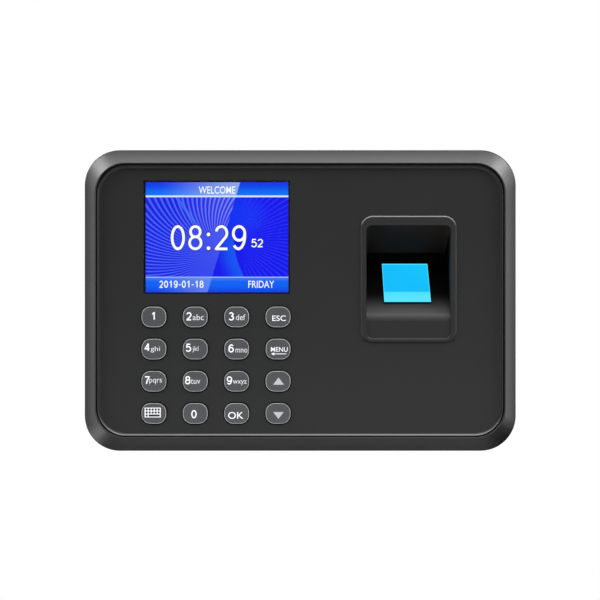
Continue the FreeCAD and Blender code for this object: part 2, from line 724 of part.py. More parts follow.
def make_back_cover():
    """The rear moulding: deep shell, raised floor over the wall plate, port holes."""
    body = new_body("BackShell")
    rounded_pad(body, "BackOutside", D["back_gap"], PARTING, BACK_WIDTH, BACK_HEIGHT, BACK_CORNER)
    round_off(body, "RearRounding", D["back_rounding"], lambda box: at_level(box, D["back_gap"]))
    rounded_pocket(
        body, "BackInside", FLOOR, PARTING + OVERSHOOT,
        BACK_WIDTH - 2 * D["wall"], BACK_HEIGHT - 2 * D["wall"], BACK_CORNER - D["wall"],
    )
    rounded_pad(body, "RaisedFloor", D["back_gap"] + 1, RAISED_FLOOR,
                D["plate_width"] + 2 * D["wall"], D["plate_height"] + 2 * D["wall"],
                D["plate_corner"] + D["wall"])
    sketch = new_sketch(body, "PlateRecess", "XZ_Plane", level=RECESS_FLOOR)
    draw_rounded(sketch, D["plate_width"] + 2 * D["plate_play"],
                 D["plate_height"] + 2 * D["plate_play"], D["plate_corner"] + D["plate_play"])
    pocket(body, sketch, RECESS_FLOOR)
    for i, (x, z) in enumerate(BOSSES):
        round_pad(body, f"BackBoss{i}", FLOOR - 1, PARTING, D["boss_radius"], x, z)
        round_pocket(body, f"BackBore{i}", FLOOR, PARTING + OVERSHOOT, D["case_screw"] + 0.2, x, z)
        round_pocket(body, f"HeadWell{i}", D["back_gap"] - OVERSHOOT, D["head_seat"],
                     D["head_radius"] + 0.2, x, z)
    below = CASE_BOTTOM - 1
    slot_half = D["lock_width"] / 2 + D["slot_play"]
    tab_half = D["plate_thickness"] / 2 + D["slot_play"]
    tools = [
        port_hole("JackHole", JACK),
        port_hole("UsbHole", USB),
        port_hole("PowerHole", POWER),
        rod("ResetHole", RESET_X, RESET_LEVEL, below, PIN_HOLE, D["wall"] + 2, "up"),
        rod("LockHole", D["lock_x"], D["lock_depth"], below, D["lock_screw"] + D["clearance"],
            D["lock_screw_length"], "up"),
        rod("LockSink", D["lock_x"], D["lock_depth"], below, D["head_radius"] + D["clearance"],
            D["lock_sink"] + 1, "up"),
        block(
            "LockSlot",
            (D["lock_x"] - slot_half, RECESS_FLOOR - OVERSHOOT, LOCK_TAB_Z - tab_half),
            (D["lock_x"] + slot_half, RAISED_FLOOR + OVERSHOOT, LOCK_TAB_Z + tab_half),
        ),
    ]
    keep(cut("BackCover", body, tools + hook_slots() + speaker_grille()), "back_cover")


def screw(name, x, seat_level, z, shank, head, head_length, length, way="front"):
    """A pan-head screw whose head sits on a seat, with a cross recess in the head."""
    reach = head * CROSS_REACH
    half = CROSS_WIDTH / 2
    floor = head_length * CROSS_FLOOR
    if way == "front":
        shank_rod = rod(name + "Shank", x, seat_level, z, shank, length, "front")
        head_rod = rod(name + "Head", x, seat_level, z, head, head_length, "wall")
        low = seat_level - head_length - OVERSHOOT
        high = seat_level - floor
        cross = [
            block(name + "SlotA", (x - reach, low, z - half), (x + reach, high, z + half)),
            block(name + "SlotB", (x - half, low, z - reach), (x + half, high, z + reach)),
        ]
    else:
        shank_rod = rod(name + "Shank", x, seat_level, z, shank, length, "up")
        head_rod = rod(name + "Head", x, seat_level, z - head_length, head, head_length, "up")
        low = z - head_length - OVERSHOOT
        high = z - floor
        cross = [
            block(name + "SlotA", (x - reach, seat_level - half, low),
                  (x + reach, seat_level + half, high)),
            block(name + "SlotB", (x - half, seat_level - reach, low),
                  (x + half, seat_level + reach, high)),
        ]
    return cut(name, fuse(name + "Blank", [shank_rod, head_rod]), cross)


def make_case_screws():
    """Four screws from the back cover into the front cover."""
    length = PANEL_BACK - D["bore_roof"] - OVERSHOOT - D["head_seat"]
    screws = [
        screw(f"CaseScrew{i}", x, D["head_seat"], z, D["case_screw"], D["head_radius"],
              D["head_thickness"], length)
        for i, (x, z) in enumerate(BOSSES)
    ]
    keep(group("CaseScrews", screws), "case_screws")


def make_wall_plate():
    """The steel plate that is screwed to the wall, with two hooks and a lock tab."""
    body = new_body("PlateBlank")
    rounded_pad(body, "PlateOutline", 0, D["plate_thickness"], D["plate_width"],
                D["plate_height"], D["plate_corner"])
    for i, (sx, sz) in enumerate([(-1, -1), (-1, 1), (1, -1), (1, 1)]):
        round_pocket(body, f"PlateHole{i}", -OVERSHOOT, D["plate_thickness"] + OVERSHOOT,
                     D["plate_hole"], sx * D["plate_spacing_x"] / 2, sz * D["plate_spacing_z"] / 2)
    metal = D["plate_thickness"]
    lip_back = RAISED_FLOOR + D["hook_gap"]
    lip_front = lip_back + metal
    tabs = []
    for name, x, z, half in hook_places():
        tabs.append(block(name + "Stem", (x - half, metal / 2, z - metal), (x + half, lip_front, z)))
        tabs.append(block(name + "Lip", (x - half, lip_back, z - metal / 2),
                          (x + half, lip_front, z + D["hook_reach"])))
    lock_half = D["lock_width"] / 2
    tab = block(
        "LockTab",
        (D["lock_x"] - lock_half, metal / 2, LOCK_TAB_Z - metal / 2),
        (D["lock_x"] + lock_half, D["lock_depth"] + 3, LOCK_TAB_Z + metal / 2),
    )
    thread = rod("LockThread", D["lock_x"], D["lock_depth"], LOCK_TAB_Z - metal,
                 D["lock_screw"] + D["thread_gap"], 2 * metal, "up")
    keep(cut("WallPlate", fuse("PlateForm", [body, tab] + tabs), [thread]), "wall_plate")
    seat = CASE_BOTTOM + D["lock_sink"]
    lock = screw("LockScrew", D["lock_x"], D["lock_depth"], seat, D["lock_screw"],
                 D["head_radius"], D["sensor_head"], D["lock_screw_length"], "up")
    keep(lock, "lock_screw")


# ---------------------------------------------------------------- screen

def framed_block(name, back, front, margin, x, z, width, height):
    """A plain block centred on a point, with an extra margin all round."""
    half_width = size(width) / 2 + margin
    half_height = size(height) / 2 + margin
    return block(name, (x - half_width, back, z - half_height), (x + half_width, front, z + half_height))


def screen_block(name, back, front, margin):
    """A block the size of the lit area plus a margin."""
    return framed_block(name, back, front, margin, D["screen_x"], D["screen_z"],
                        D["screen_width"], D["screen_height"])


def module_block(name, back, front, margin):
    """A block the size of the display module plus a margin."""
    return framed_block(name, back, front, margin, D["screen_x"], D["screen_z"],
                        D["module_width"], D["module_height"])


def make_screen():
    """Window, gasket, glass, backlight and its metal tray, from front to back."""
    window_back = PANEL_BACK - D["window_sheet"]
    proud = screen_block("WindowProud", window_back, PANEL_FRONT - D["window_sink"],
                         D["screen_border"] - 0.15)
    flange = screen_block("WindowFlange", window_back, PANEL_BACK,
                          D["screen_border"] + D["window_flange"])
    keep(fuse("Window", [proud, flange]), "display_window")
    ring = module_block("GasketOutside", GLASS_FRONT, window_back, -0.8)
    hole = screen_block("GasketInside", GLASS_FRONT - 1, window_back + 1, 0.8)
    keep(cut("Gasket", ring, [hole]), "display_gasket")
    keep(module_block("Glass", GLASS_BACK, GLASS_FRONT, 0), "display_glass")
    tray = module_block("TrayOutside", BOARD_FRONT, GLASS_BACK, 0)
    inside = module_block("TrayInside", BOARD_FRONT + 0.6, GLASS_BACK + 1, -0.8)
    keep(cut("Tray", tray, [inside]), "display_tray")
    keep(module_block("Backlight", BOARD_FRONT + 0.6, GLASS_BACK, -1), "backlight")


FLEX_WIDTH = 20
FLEX_THICKNESS = 0.3
FLEX_GAP = 1.2  # between the cable's middle and the board
FLEX_OVERHANG = 2.2  # from the board's edge to where the cable turns
FLEX_REACH = 3  # from the board's edge to the socket


def make_display_flex():
    """The flat flexible cable that folds round the board's edge to its socket."""
    left = (D["screen_x"] - D["module_width"] / 2).value
    front = BOARD_FRONT.value + FLEX_GAP
    back = BOARD_BACK.value - FLEX_GAP
    bend = (front - back) / 2
    turn_x = D["board_left"].value - FLEX_OVERHANG
    thickness = FLEX_THICKNESS
    width = FLEX_WIDTH
    middle = (front + back) / 2
    low_z = D["screen_z"].value - width / 2

    def strip(offset):
        """One face's line: in, round the bend and back out."""
        radius = bend + offset
        start = V(left, -middle - radius, low_z)
        top = V(turn_x, -middle - radius, low_z)
        apex = V(turn_x - radius, -middle, low_z)
        low = V(turn_x, -middle + radius, low_z)
        end = V(D["board_left"].value + FLEX_REACH, -middle + radius, low_z)
        return [
            Part.LineSegment(start, top).toShape(),
            Part.Arc(top, apex, low).toShape(),
            Part.LineSegment(low, end).toShape(),
        ], start, end

    outer, outer_start, outer_end = strip(thickness / 2)
    inner, inner_start, inner_end = strip(-thickness / 2)
    ends = [
        Part.LineSegment(outer_end, inner_end).toShape(),
        Part.LineSegment(inner_start, outer_start).toShape(),
    ]
    outline = Part.Wire(Part.__sortEdges__(outer + inner + ends))
    flex = doc.addObject("Part::Feature", "Flex")
    flex.Shape = Part.Face(outline).extrude(V(0, 0, width))
    keep(flex, "display_flex")


# ---------------------------------------------------------------- keypad

FLANGE_FRONT = PANEL_BACK - D["clearance"]
FLANGE_BACK = FLANGE_FRONT - D["flange_thickness"]
PILL_END = BOARD_FRONT + D["key_travel"] + D["pill_gap"]


def make_key(name, x, z):
    """One key: rounded cap, hidden retaining flange and contact pill, in one moulding."""
    body = new_body(name)
    rounded_pad(body, name + "Cap", FLANGE_BACK, PANEL_FRONT + D["key_proud"],
                D["key_width"], D["key_height"], D["key_corner"])
    top = PANEL_FRONT + D["key_proud"]
    round_off(body, name + "Ease", D["key_ease"], lambda box: at_level(box, top))
    overlap = D["key_gap"] + D["key_flange"]
    rounded_pad(body, name + "Flange", FLANGE_BACK, FLANGE_FRONT,
                D["key_width"] + 2 * overlap, D["key_height"] + 2 * overlap,
                D["key_corner"] + overlap)
    round_pad(body, name + "Pill", PILL_END, FLANGE_BACK, D["pill_radius"])
    place(body, x, 0, z)
    keep(body, name)


def make_keypad_mat():
    """The silicone sheet on the board, with a sleeve round each contact pill."""
    reach_x = D["key_width"] / 2 + D["mat_margin"]
    reach_z = D["key_height"] / 2 + D["mat_margin"]
    xs = [x for name, x, z in KEY_PLACES]
    zs = [z for name, x, z in KEY_PLACES]
    sheet_block = block(
        "MatSheet",
        (xs[0] - reach_x, BOARD_FRONT, zs[-1] - reach_z),
        (xs[-1] + reach_x, BOARD_FRONT + D["mat_thickness"], zs[0] + reach_z),
    )
    sleeve_top = FLANGE_BACK - D["key_travel"] - D["clearance"]
    bore = D["pill_radius"] + 2 * D["clearance"]
    sleeves = []
    bores = []
    for name, x, z in KEY_PLACES:
        sleeves.append(rod("Sleeve_" + name, x, BOARD_FRONT, z, bore + D["sleeve_wall"],
                           sleeve_top - BOARD_FRONT, "front"))
        bores.append(rod("Bore_" + name, x, BOARD_FRONT - OVERSHOOT, z, bore,
                         sleeve_top - BOARD_FRONT + 2 * OVERSHOOT, "front"))
    keep(cut("Mat", fuse("MatForm", [sheet_block] + sleeves), bores), "keypad_mat")


# ---------------------------------------------------------------- finger well and sensor

PRISM_INSET = 0.5  # prism's edge, inside the window's edge
LENS_PUPIL_FLOOR = 1.7  # from the camera board to the bottom of the lens opening


def seat_height(depth, inward):
    """Height of the sloping seat at a depth behind the crest, sunk inward from the window."""
    tilt_angle = D["sensor_tilt"]
    rise = (depth - D["sensor_depth"]) * cosine(tilt_angle) / sine(tilt_angle)
    return D["sensor_z"] + rise - inward / sine(tilt_angle)


def side_body(name, corners, x, width):
    """A body with one side outline, given as (depth behind the crest, height)."""
    body = new_body(name)
    sketch = new_sketch(body, name + "Side", "YZ_Plane", -D["case_depth"] - SKETCH_SHIFT,
                        -SKETCH_SHIFT, x)
    draw_polygon(sketch, [(size(a) + SKETCH_SHIFT, size(b) + SKETCH_SHIFT) for a, b in corners])
    pad(body, sketch, width, middle=True)
    return body


def make_finger_well():
    """The moulded well: trim, sloping ceiling, sensor seat, rounded lip and finger rest."""
    sunk = D["window_proud"]
    behind = D["window_proud"] + D["seat_thickness"]
    back = D["scoop_depth"]
    rest = D["rest_depth"]
    lip_z = seat_height(rest, sunk)
    flare = rest + CUTTER_REACH
    scoop = side_body("Scoop", [
        (-CUTTER_REACH, D["scoop_top"]),
        (D["ceiling_depth"], D["scoop_top"]),
        (back, D["scoop_back"]),
        (back, seat_height(back, sunk)),
        (rest, lip_z),
        (rest, D["scoop_bottom"]),
        (-CUTTER_REACH, D["scoop_bottom"] - flare),
    ], D["well_x"], D["scoop_width"])
    round_off(scoop, "LipRounding", D["lip_rounding"],
              lambda box: abs(box.ZMax - lip_z.value) < 1e-3 and box.ZLength < 1e-3
              and box.XLength > 1)
    side_x = [
        (D["well_x"] - D["scoop_width"] / 2).value,
        (D["well_x"] + D["scoop_width"] / 2).value,
    ]
    ceiling_end = D["scoop_back"].value
    flare_start = D["scoop_bottom"].value
    round_off(scoop, "ScoopCorners", D["scoop_corner"],
              lambda box: box.XLength < 1e-3 and box.YLength > 2
              and min(abs(box.XMin - x) for x in side_x) < 1e-3
              and (box.ZMin > ceiling_end - 1e-3 or box.ZMax < flare_start + 1e-3))
    shell_back = back + D["well_shell"]
    rest_back = rest + D["well_shell"]
    face = D["panel_recess"]
    shell = side_body("WellShell", [
        (face, D["scoop_top"] + D["well_shell"]),
        (face + D["well_shell"], D["scoop_top"] + D["well_shell"]),
        (shell_back, D["scoop_back"] + D["well_shell"]),
        (shell_back, seat_height(shell_back, behind)),
        (rest_back, seat_height(rest_back, behind)),
        (rest_back, D["scoop_bottom"] - D["well_wall"]),
        (face, D["scoop_bottom"] - D["well_wall"]),
    ], D["well_x"], D["scoop_width"] + 2 * D["well_wall"])
    trim = new_body("WellTrim")
    rounded_pad(trim, "TrimOutline", PANEL_FRONT, PANEL_FRONT + D["trim_proud"],
                D["well_width"], D["well_top"] - D["well_bottom"], D["well_corner"],
                D["well_x"], (D["well_top"] + D["well_bottom"]) / 2)
    trim_front = PANEL_FRONT + D["trim_proud"]
    round_off(trim, "TrimEase", D["trim_ease"], lambda box: at_level(box, trim_front))
    mouth_block = local_block("WindowMouth", (0, 0, -1),
                              (D["window_width"] + 2 * D["window_gap"],
                               D["window_length"] + 2 * D["window_gap"], 4))
    mouth = tilt(group("WindowMouthPlace", [mouth_block]))
    posts = tilt(group("WellPosts", [
        local_rod(f"WellPost{i}", (side * D["ear_reach"], 0, -(behind + D["sensor_post"])),
                  D["sensor_post_radius"], D["sensor_post"] + D["window_gap"])
        for i, side in enumerate((-1, 1))
    ]))
    bores = tilt(group("WellBores", [
        local_rod(f"WellBore{i}", (side * D["ear_reach"], 0, -(behind + D["sensor_post"] + 1)),
                  D["sensor_screw"] + D["thread_gap"], D["sensor_post"] + 0.6)
        for i, side in enumerate((-1, 1))
    ]))
    form = fuse("WellForm", [shell, trim, posts])
    keep(cut("Well", form, [scoop, mouth, bores]), "finger_well")


def make_sensor():
    """The optical module behind the window, made in its own tilted frame."""
    behind = D["window_proud"] + D["seat_thickness"]
    deep = behind + D["housing_depth"]
    middle = -(behind + D["housing_depth"] / 2)
    width = D["housing_width"]
    length = D["housing_length"]
    window = local_block("CoverGlass", (0, 0, -(D["window_glass"] / 2)),
                         (D["window_width"], D["window_length"], D["window_glass"]))
    keep(tilt(group("CoverGlassPlace", [window])), "sensor_window")

    prism = new_body("Prism")
    prism_back = D["window_glass"] + D["prism_depth"]
    half = D["window_length"] / 2 - PRISM_INSET
    side = new_sketch(prism, "PrismSide", "YZ_Plane", -SKETCH_SHIFT, -SKETCH_SHIFT, 0)
    outline = [
        (-half, D["prism_end"] - prism_back),
        (-half, -D["window_glass"]),
        (half, -D["window_glass"]),
        (half, -prism_back),
        (half - D["prism_slope"], -prism_back),
    ]
    draw_polygon(side, [(size(a) + SKETCH_SHIFT, size(b) + SKETCH_SHIFT) for a, b in outline])
    pad(prism, side, D["window_width"] - 2 * PRISM_INSET, middle=True)
    keep(tilt(prism), "sensor_prism")

    ear_front = -(behind + D["sensor_post"])
    ear_back = ear_front - D["ear_thickness"]
    shell = local_block("HousingBlock", (0, 0, middle), (width, length, D["housing_depth"]))
    ears = local_block("HousingEars", (0, 0, ear_front - D["ear_thickness"] / 2),
                       (2 * D["ear_reach"] + D["ear_width"], D["ear_width"], D["ear_thickness"]))
    cavity = local_block("HousingCavity", (0, 0, middle),
                         (D["window_width"] + 2 * D["cavity_gap"],
                          D["window_length"] + 2 * D["cavity_gap"],
                          D["housing_depth"] + 2 * OVERSHOOT))
    holes = [
        local_rod(f"EarHole{i}", (side * D["ear_reach"], 0, ear_back - OVERSHOOT),
                  D["sensor_screw"] + 3 * D["thread_gap"], D["ear_thickness"] + 2 * OVERSHOOT)
        for i, side in enumerate((-1, 1))
    ]
    keep(tilt(cut("Housing", fuse("HousingForm", [shell, ears]), [cavity] + holes)),
         "sensor_housing")

    screws = []
    head_back = ear_back - D["sensor_head"]
    for i, side in enumerate((-1, 1)):
        x = side * D["ear_reach"]
        shank = local_rod(f"EarShank{i}", (x, 0, ear_back), D["sensor_screw"],
                          D["sensor_screw_length"])
        head = local_rod(f"EarHead{i}", (x, 0, head_back), D["sensor_head_radius"],
                         D["sensor_head"])
        slot = local_block(f"EarSlot{i}", (x, 0, head_back),
                           (2 * CROSS_REACH * D["sensor_head_radius"], CROSS_WIDTH,
                            D["sensor_head"]))
        screws.append(cut(f"EarScrew{i}", fuse(f"EarBlank{i}", [shank, head]), [slot]))
    keep(tilt(group("EarScrews", screws)), "sensor_screws")

    sheet_thickness = D["light_board_thickness"]
    board_y = sheet_thickness - D["window_length"] / 2 - D["cavity_gap"] - 0.1
    light_board = local_block("LightBoard", (0, board_y, -D["light_board_depth"]),
                              (D["light_board_width"], sheet_thickness, D["light_board_height"]))
    keep(tilt(group("LightBoardPlace", [light_board])), "sensor_light_board")
    lamp_y = board_y + (sheet_thickness + D["lamp_thickness"]) / 2
    lamps = [
        local_block(f"Lamp{i}", ((i - 1.5) * D["lamp_pitch"], lamp_y, -D["light_board_depth"] - 0.4),
                    (D["lamp_size"], D["lamp_thickness"], D["lamp_size"]))
        for i in range(4)
    ]
    keep(tilt(group("Lamps", lamps)), "sensor_lamps")
    lens_y = D["lens_offset"]
    barrel = local_rod("LensBarrel", (0, lens_y, -deep), D["lens_radius"], D["lens_length"])
    pupil = local_rod("LensPupil", (0, lens_y, LENS_PUPIL_FLOOR - deep), D["pupil_radius"],
                      D["lens_length"])
    keep(tilt(cut("Lens", barrel, [pupil])), "sensor_lens")
    board_thickness = D["camera_board_thickness"]
    camera_board = local_block("CameraBoard", (0, 0, -(deep + board_thickness / 2)),
                               (width, length, board_thickness))
    keep(tilt(group("CameraBoardPlace", [camera_board])), "sensor_camera_board")
    socket_depth = deep + board_thickness + D["camera_socket"] / 2
    socket = local_block("CameraSocket", (0, 0, -socket_depth), (8, 4, D["camera_socket"]))
    keep(tilt(group("CameraSocketPlace", [socket])), "sensor_connector")
    angle = math.radians(D["sensor_tilt"].value)
    out = socket_depth.value
    start = V(
        D["well_x"].value - 4 - LEAD_GAP,
        -(D["case_depth"] - D["sensor_depth"]).value + out * math.cos(angle),
        D["sensor_z"].value - out * math.sin(angle),
    )
    sockets_x = SOCKET_X + 6
    socket_level = (BOARD_BACK - D["socket_height"] / 2).value
    route = [
        start,
        start + V(-9, 0, -0.3),
        start + V(-15, -3.6, -2.6),
        V(sockets_x + 6, -socket_level, SENSOR_SOCKET_Z),
        V(sockets_x, -socket_level, SENSOR_SOCKET_Z),
    ]
    cable = doc.addObject("Part::Feature", "SensorCable")
    cable.Shape = lead(route, D["cable_radius"].value)
    keep(cable, "sensor_cable")


# ---------------------------------------------------------------- electronics

CANS = [(-12, -26, 3.15, 7.7), (-20, -26, 3.15, 7.7), (2, 36, 4, 10)]  # x, z, radius, height
CELL_PLACE = (-16, 36)
FLEX_SOCKET = 5  # width of the socket for the display's cable
JACK_LATCH = 3  # half width of the slot for the plug's latch
USB_TONGUE = 5  # half width of the plastic tongue
POWER_BORE = 3.1
POWER_PIN = 1
SWITCH_HALF = 2.5
PLUNGER = 1.2  # radius of the reset switch's plunger


def behind_board(name, x, z, width, height, thick):
    """A block soldered to the rear of the main board."""
    half_width = size(width) / 2
    half_height = size(height) / 2
    return block(
        name,
        (x - half_width, BOARD_BACK - thick, z - half_height),
        (x + half_width, BOARD_BACK, z + half_height),
    )


def chip(name, x, z, width, height, legs, both_ways=False):
    """A surface-mounted chip with legs on two sides, or on all four."""
    body = block(
        name + "Case",
        (x - width / 2, BOARD_BACK - D["chip_thickness"], z - height / 2),
        (x + width / 2, BOARD_BACK - D["chip_standoff"], z + height / 2),
    )
    solids = [body]
    pitch = width / (legs + 1)
    reach = D["leg_reach"]
    thick = D["leg_thickness"]
    for i in range(legs):
        step = (i - (legs - 1) / 2) * pitch
        for side in (-1, 1):
            mark = f"{i}{side > 0:d}"
            out_z = z + side * (height + reach) / 2
            solids.append(behind_board(f"{name}LegV{mark}", x + step, out_z, pitch / 2, reach, thick))
            if both_ways:
                out_x = x + side * (width + reach) / 2
                solids.append(
                    behind_board(f"{name}LegH{mark}", out_x, z + step, reach, pitch / 2, thick)
                )
    return solids


def make_main_board():
    """The main board with everything soldered to it."""
    blank = block(
        "BoardBlank",
        (D["board_left"], BOARD_BACK, D["board_bottom"]),
        (D["board_right"], BOARD_FRONT, D["board_top"]),
    )
    holes = [
        rod(f"BoardHole{i}", x, BOARD_BACK - OVERSHOOT, z, D["board_screw"] + 4 * D["thread_gap"],
            D["board_thickness"] + 2 * OVERSHOOT, "front")
        for i, (x, z) in enumerate(BOARD_SCREWS)
    ]
    keep(cut("Board", blank, holes), "main_board")
    screws = [
        screw(f"BoardScrew{i}", x, BOARD_BACK, z, D["board_screw"], D["board_head_radius"],
              D["board_head"], D["board_screw_length"])
        for i, (x, z) in enumerate(BOARD_SCREWS)
    ]
    keep(group("BoardScrews", screws), "board_screws")
    chips = chip("Processor", -38, 8, 14, 14, 12, both_ways=True)
    chips += chip("Memory", -16, 8, 10, 10, 8)
    chips += chip("Amplifier", -4, -18, 5, 4, 4)
    chips += chip("Regulator", -8, -34, 5, 4, 4)
    keep(group("Chips", chips), "board_chips")
    cans = [
        rod(f"Can{i}", x, BOARD_BACK, z, radius, tall, "wall")
        for i, (x, z, radius, tall) in enumerate(CANS)
    ]
    keep(group("Cans", cans), "capacitors")
    crystal = new_body("Crystal")
    rounded_pad(crystal, "CrystalCan", BOARD_BACK - 3.5, BOARD_BACK, 11, 4.6, 2.2, -38, -6)
    keep(crystal, "crystal")
    cell_x, cell_z = CELL_PLACE
    seat_level = BOARD_BACK - (D["holder_thickness"] - D["cell_thickness"])
    holder = rod("HolderDisc", cell_x, BOARD_BACK, cell_z, D["holder_radius"],
                 D["holder_thickness"], "wall")
    seat = rod("HolderSeat", cell_x, seat_level, cell_z, D["cell_radius"] + 0.1,
               D["holder_thickness"], "wall")
    keep(cut("Holder", holder, [seat]), "cell_holder")
    keep(rod("Cell", cell_x, seat_level, cell_z, D["cell_radius"], D["cell_thickness"], "wall"),
         "coin_cell")
    flex_x = D["board_left"] + FLEX_REACH + FLEX_SOCKET / 2
    tall = D["socket_height"]
    sockets = [
        behind_board("FlexSocket", flex_x, D["screen_z"], FLEX_SOCKET, FLEX_WIDTH + 2, tall - 1),
        behind_board("SensorSocket", SOCKET_X + 3, SENSOR_SOCKET_Z, 6, 7, tall),
        behind_board("SpeakerSocket", SOCKET_X + 3, SPEAKER_SOCKET_Z, 6, 6, tall),
    ]
    keep(group("Sockets", sockets), "board_sockets")


def port_block(name, port, margin=0.0, depth=None):
    """The outline of a port on the bottom edge, or a smaller block inside it."""
    half = port["width"] / 2 - margin
    low_z = PORT_FACE if depth is None else PORT_FACE - 1
    high_z = PORT_FACE + (port["long"] if depth is None else depth)
    return block(
        name,
        (port["x"] - half, BOARD_BACK - port["tall"] + margin, low_z),
        (port["x"] + half, BOARD_BACK - margin, high_z),
    )


def make_ports():
    """Network, USB and power sockets on the board's bottom edge, and the reset switch."""
    cavity = port_block("JackCavity", JACK, JACK["wall"], JACK["deep"])
    jack_back = BOARD_BACK - JACK["tall"]
    latch = block(
        "JackLatch",
        (JACK["x"] - JACK_LATCH, jack_back + JACK["wall"] / 2, PORT_FACE - 1),
        (JACK["x"] + JACK_LATCH, jack_back + JACK["wall"] + 1, PORT_FACE + JACK["deep"]),
    )
    keep(cut("Jack", port_block("JackBlock", JACK), [cavity, latch]), "network_jack")
    usb_cavity = port_block("UsbCavity", USB, USB["wall"], USB["deep"])
    hollow = cut("UsbShell", port_block("UsbBlock", USB), [usb_cavity])
    tongue = block(
        "UsbTongue",
        (USB["x"] - USB_TONGUE, BOARD_BACK - 3.2, PORT_FACE + 1),
        (USB["x"] + USB_TONGUE, BOARD_BACK - 1.4, PORT_FACE + USB["deep"] + USB["wall"]),
    )
    keep(fuse("Usb", [hollow, tongue]), "usb_port")
    level = BOARD_BACK - POWER["tall"] / 2
    barrel = rod("PowerBore", POWER["x"], level, PORT_FACE - 1, POWER_BORE, 11, "up")
    pin = rod("PowerPin", POWER["x"], level, PORT_FACE + 1, POWER_PIN, 9.5, "up")
    hollow_jack = cut("PowerShell", port_block("PowerBlock", POWER), [barrel])
    keep(fuse("Power", [hollow_jack, pin]), "power_jack")
    body = block(
        "SwitchBlock",
        (RESET_X - SWITCH_HALF, BOARD_BACK - 4, D["board_bottom"] + 3),
        (RESET_X + SWITCH_HALF, BOARD_BACK, D["board_bottom"] + 7),
    )
    hole = rod("SwitchHole", RESET_X, RESET_LEVEL, D["board_bottom"] + 2,
               PLUNGER + D["thread_gap"], 2, "up")
    keep(cut("Switch", body, [hole]), "reset_switch")
    keep(rod("Plunger", RESET_X, RESET_LEVEL, D["board_bottom"] + 0.9, PLUNGER, 2.5, "up"),
         "reset_button")


def make_speaker():
    """The speaker on the rear wall, its cone and its two leads."""
    x = D["speaker_x"]
    z = D["speaker_z"]
    radius = D["speaker_radius"]
    hollow = D["basket_height"] - D["basket_floor"]
    basket = rod("Basket", x, FLOOR, z, radius, D["basket_height"], "front")
    magnet = rod("Magnet", x, FLOOR + D["basket_height"] - 0.4, z, D["magnet_radius"],
                 D["magnet_height"], "front")
    bowl = rod("BasketBowl", x, FLOOR - 1, z, radius - D["basket_wall"], hollow + 1, "front")
    keep(cut("Speaker", fuse("SpeakerForm", [basket, magnet]), [bowl]), "speaker_frame")
    rim = rod("ConeRim", x, FLOOR + 1, z, radius - D["basket_wall"] - 0.1, D["cone_thickness"],
              "front")
    dome = doc.addObject("Part::Sphere", "ConeDome")
    bind(dome, "Radius", D["dome_radius"])
    place(dome, x, FLOOR + D["dome_radius"] - 0.4, z)
    slab = rod("DomeSlab", x, FLOOR + 0.2, z, D["dome_radius"] + 0.2, 1, "front")
    cap = doc.addObject("Part::Common", "ConeCap")
    cap.Base = dome
    cap.Tool = slab
    keep(fuse("Cone", [rim, cap]), "speaker_cone")
    leads = []
    level = FLOOR.value + 2.4
    end_level = (BOARD_BACK - D["socket_height"] / 2).value
    for i, shift in enumerate((-1, 1)):
        start_z = z.value + shift
        end_z = SPEAKER_SOCKET_Z + shift
        left = x.value - radius.value - LEAD_GAP
        route = [
            V(left, -(level + 0.4), start_z),
            V(left - 7, -(level + 1.6), start_z),
            V(left - 20, -(level + 2.5), (start_z + end_z) / 2),
            V(SOCKET_X + 19, -(level + 9), end_z),
            V(SOCKET_X + 13, -end_level, end_z),
            V(SOCKET_X + 6, -end_level, end_z),
        ]
        wire = doc.addObject("Part::Feature", f"SpeakerLead{i}")
        wire.Shape = lead(route, D["lead_radius"].value)
        leads.append(wire)
    keep(group("SpeakerLeads", leads), "speaker_leads")


# ---------------------------------------------------------------- build and write

def check_document():
    """Stop if any object failed or any sub-part is empty or broken."""
    doc.recompute()
    for item in doc.Objects:
        if "Invalid" in item.State or "Error" in item.State:
            raise ValueError(f"{item.Name} did not compute: {item.State}")
    for piece in pieces:
        if piece.Shape.isNull() or not piece.Shape.isValid():
            raise ValueError(f"{piece.Label} has no valid shape")
        if not piece.Shape.Solids:
            raise ValueError(f"{piece.Label} has no solid")


def write_pieces():
    """One STEP file for each sub-part, named after it."""
    os.makedirs("parts", exist_ok=True)
    for piece in pieces:
        piece.Shape.exportStep(f"parts/{piece.Label}.step")
        print(f"{piece.Label}: {len(piece.Shape.Solids)} solids, {piece.Shape.Volume:.0f} mm3")


make_front_cover()
make_back_cover()
make_case_screws()
make_wall_plate()
make_screen()
make_display_flex()
for key_name, key_x, key_z in KEY_PLACES:
    make_key(key_name, key_x, key_z)
make_keypad_mat()
make_finger_well()
make_sensor()
make_main_board()
make_ports()
make_speaker()
check_document()
write_pieces()
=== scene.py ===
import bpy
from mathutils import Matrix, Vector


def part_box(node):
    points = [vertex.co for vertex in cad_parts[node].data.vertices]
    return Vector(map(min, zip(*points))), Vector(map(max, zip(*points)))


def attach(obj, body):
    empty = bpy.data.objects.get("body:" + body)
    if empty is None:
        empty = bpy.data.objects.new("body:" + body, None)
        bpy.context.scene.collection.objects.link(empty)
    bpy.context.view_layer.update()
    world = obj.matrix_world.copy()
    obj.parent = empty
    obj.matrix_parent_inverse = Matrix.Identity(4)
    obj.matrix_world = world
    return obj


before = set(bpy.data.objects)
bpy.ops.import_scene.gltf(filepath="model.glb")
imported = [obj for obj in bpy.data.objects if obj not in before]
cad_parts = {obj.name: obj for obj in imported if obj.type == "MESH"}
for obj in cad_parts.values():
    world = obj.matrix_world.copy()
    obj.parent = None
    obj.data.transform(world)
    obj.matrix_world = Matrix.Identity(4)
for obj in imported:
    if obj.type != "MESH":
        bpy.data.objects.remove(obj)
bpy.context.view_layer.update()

import math

import bmesh
import bpy
from mathutils import Matrix, Vector

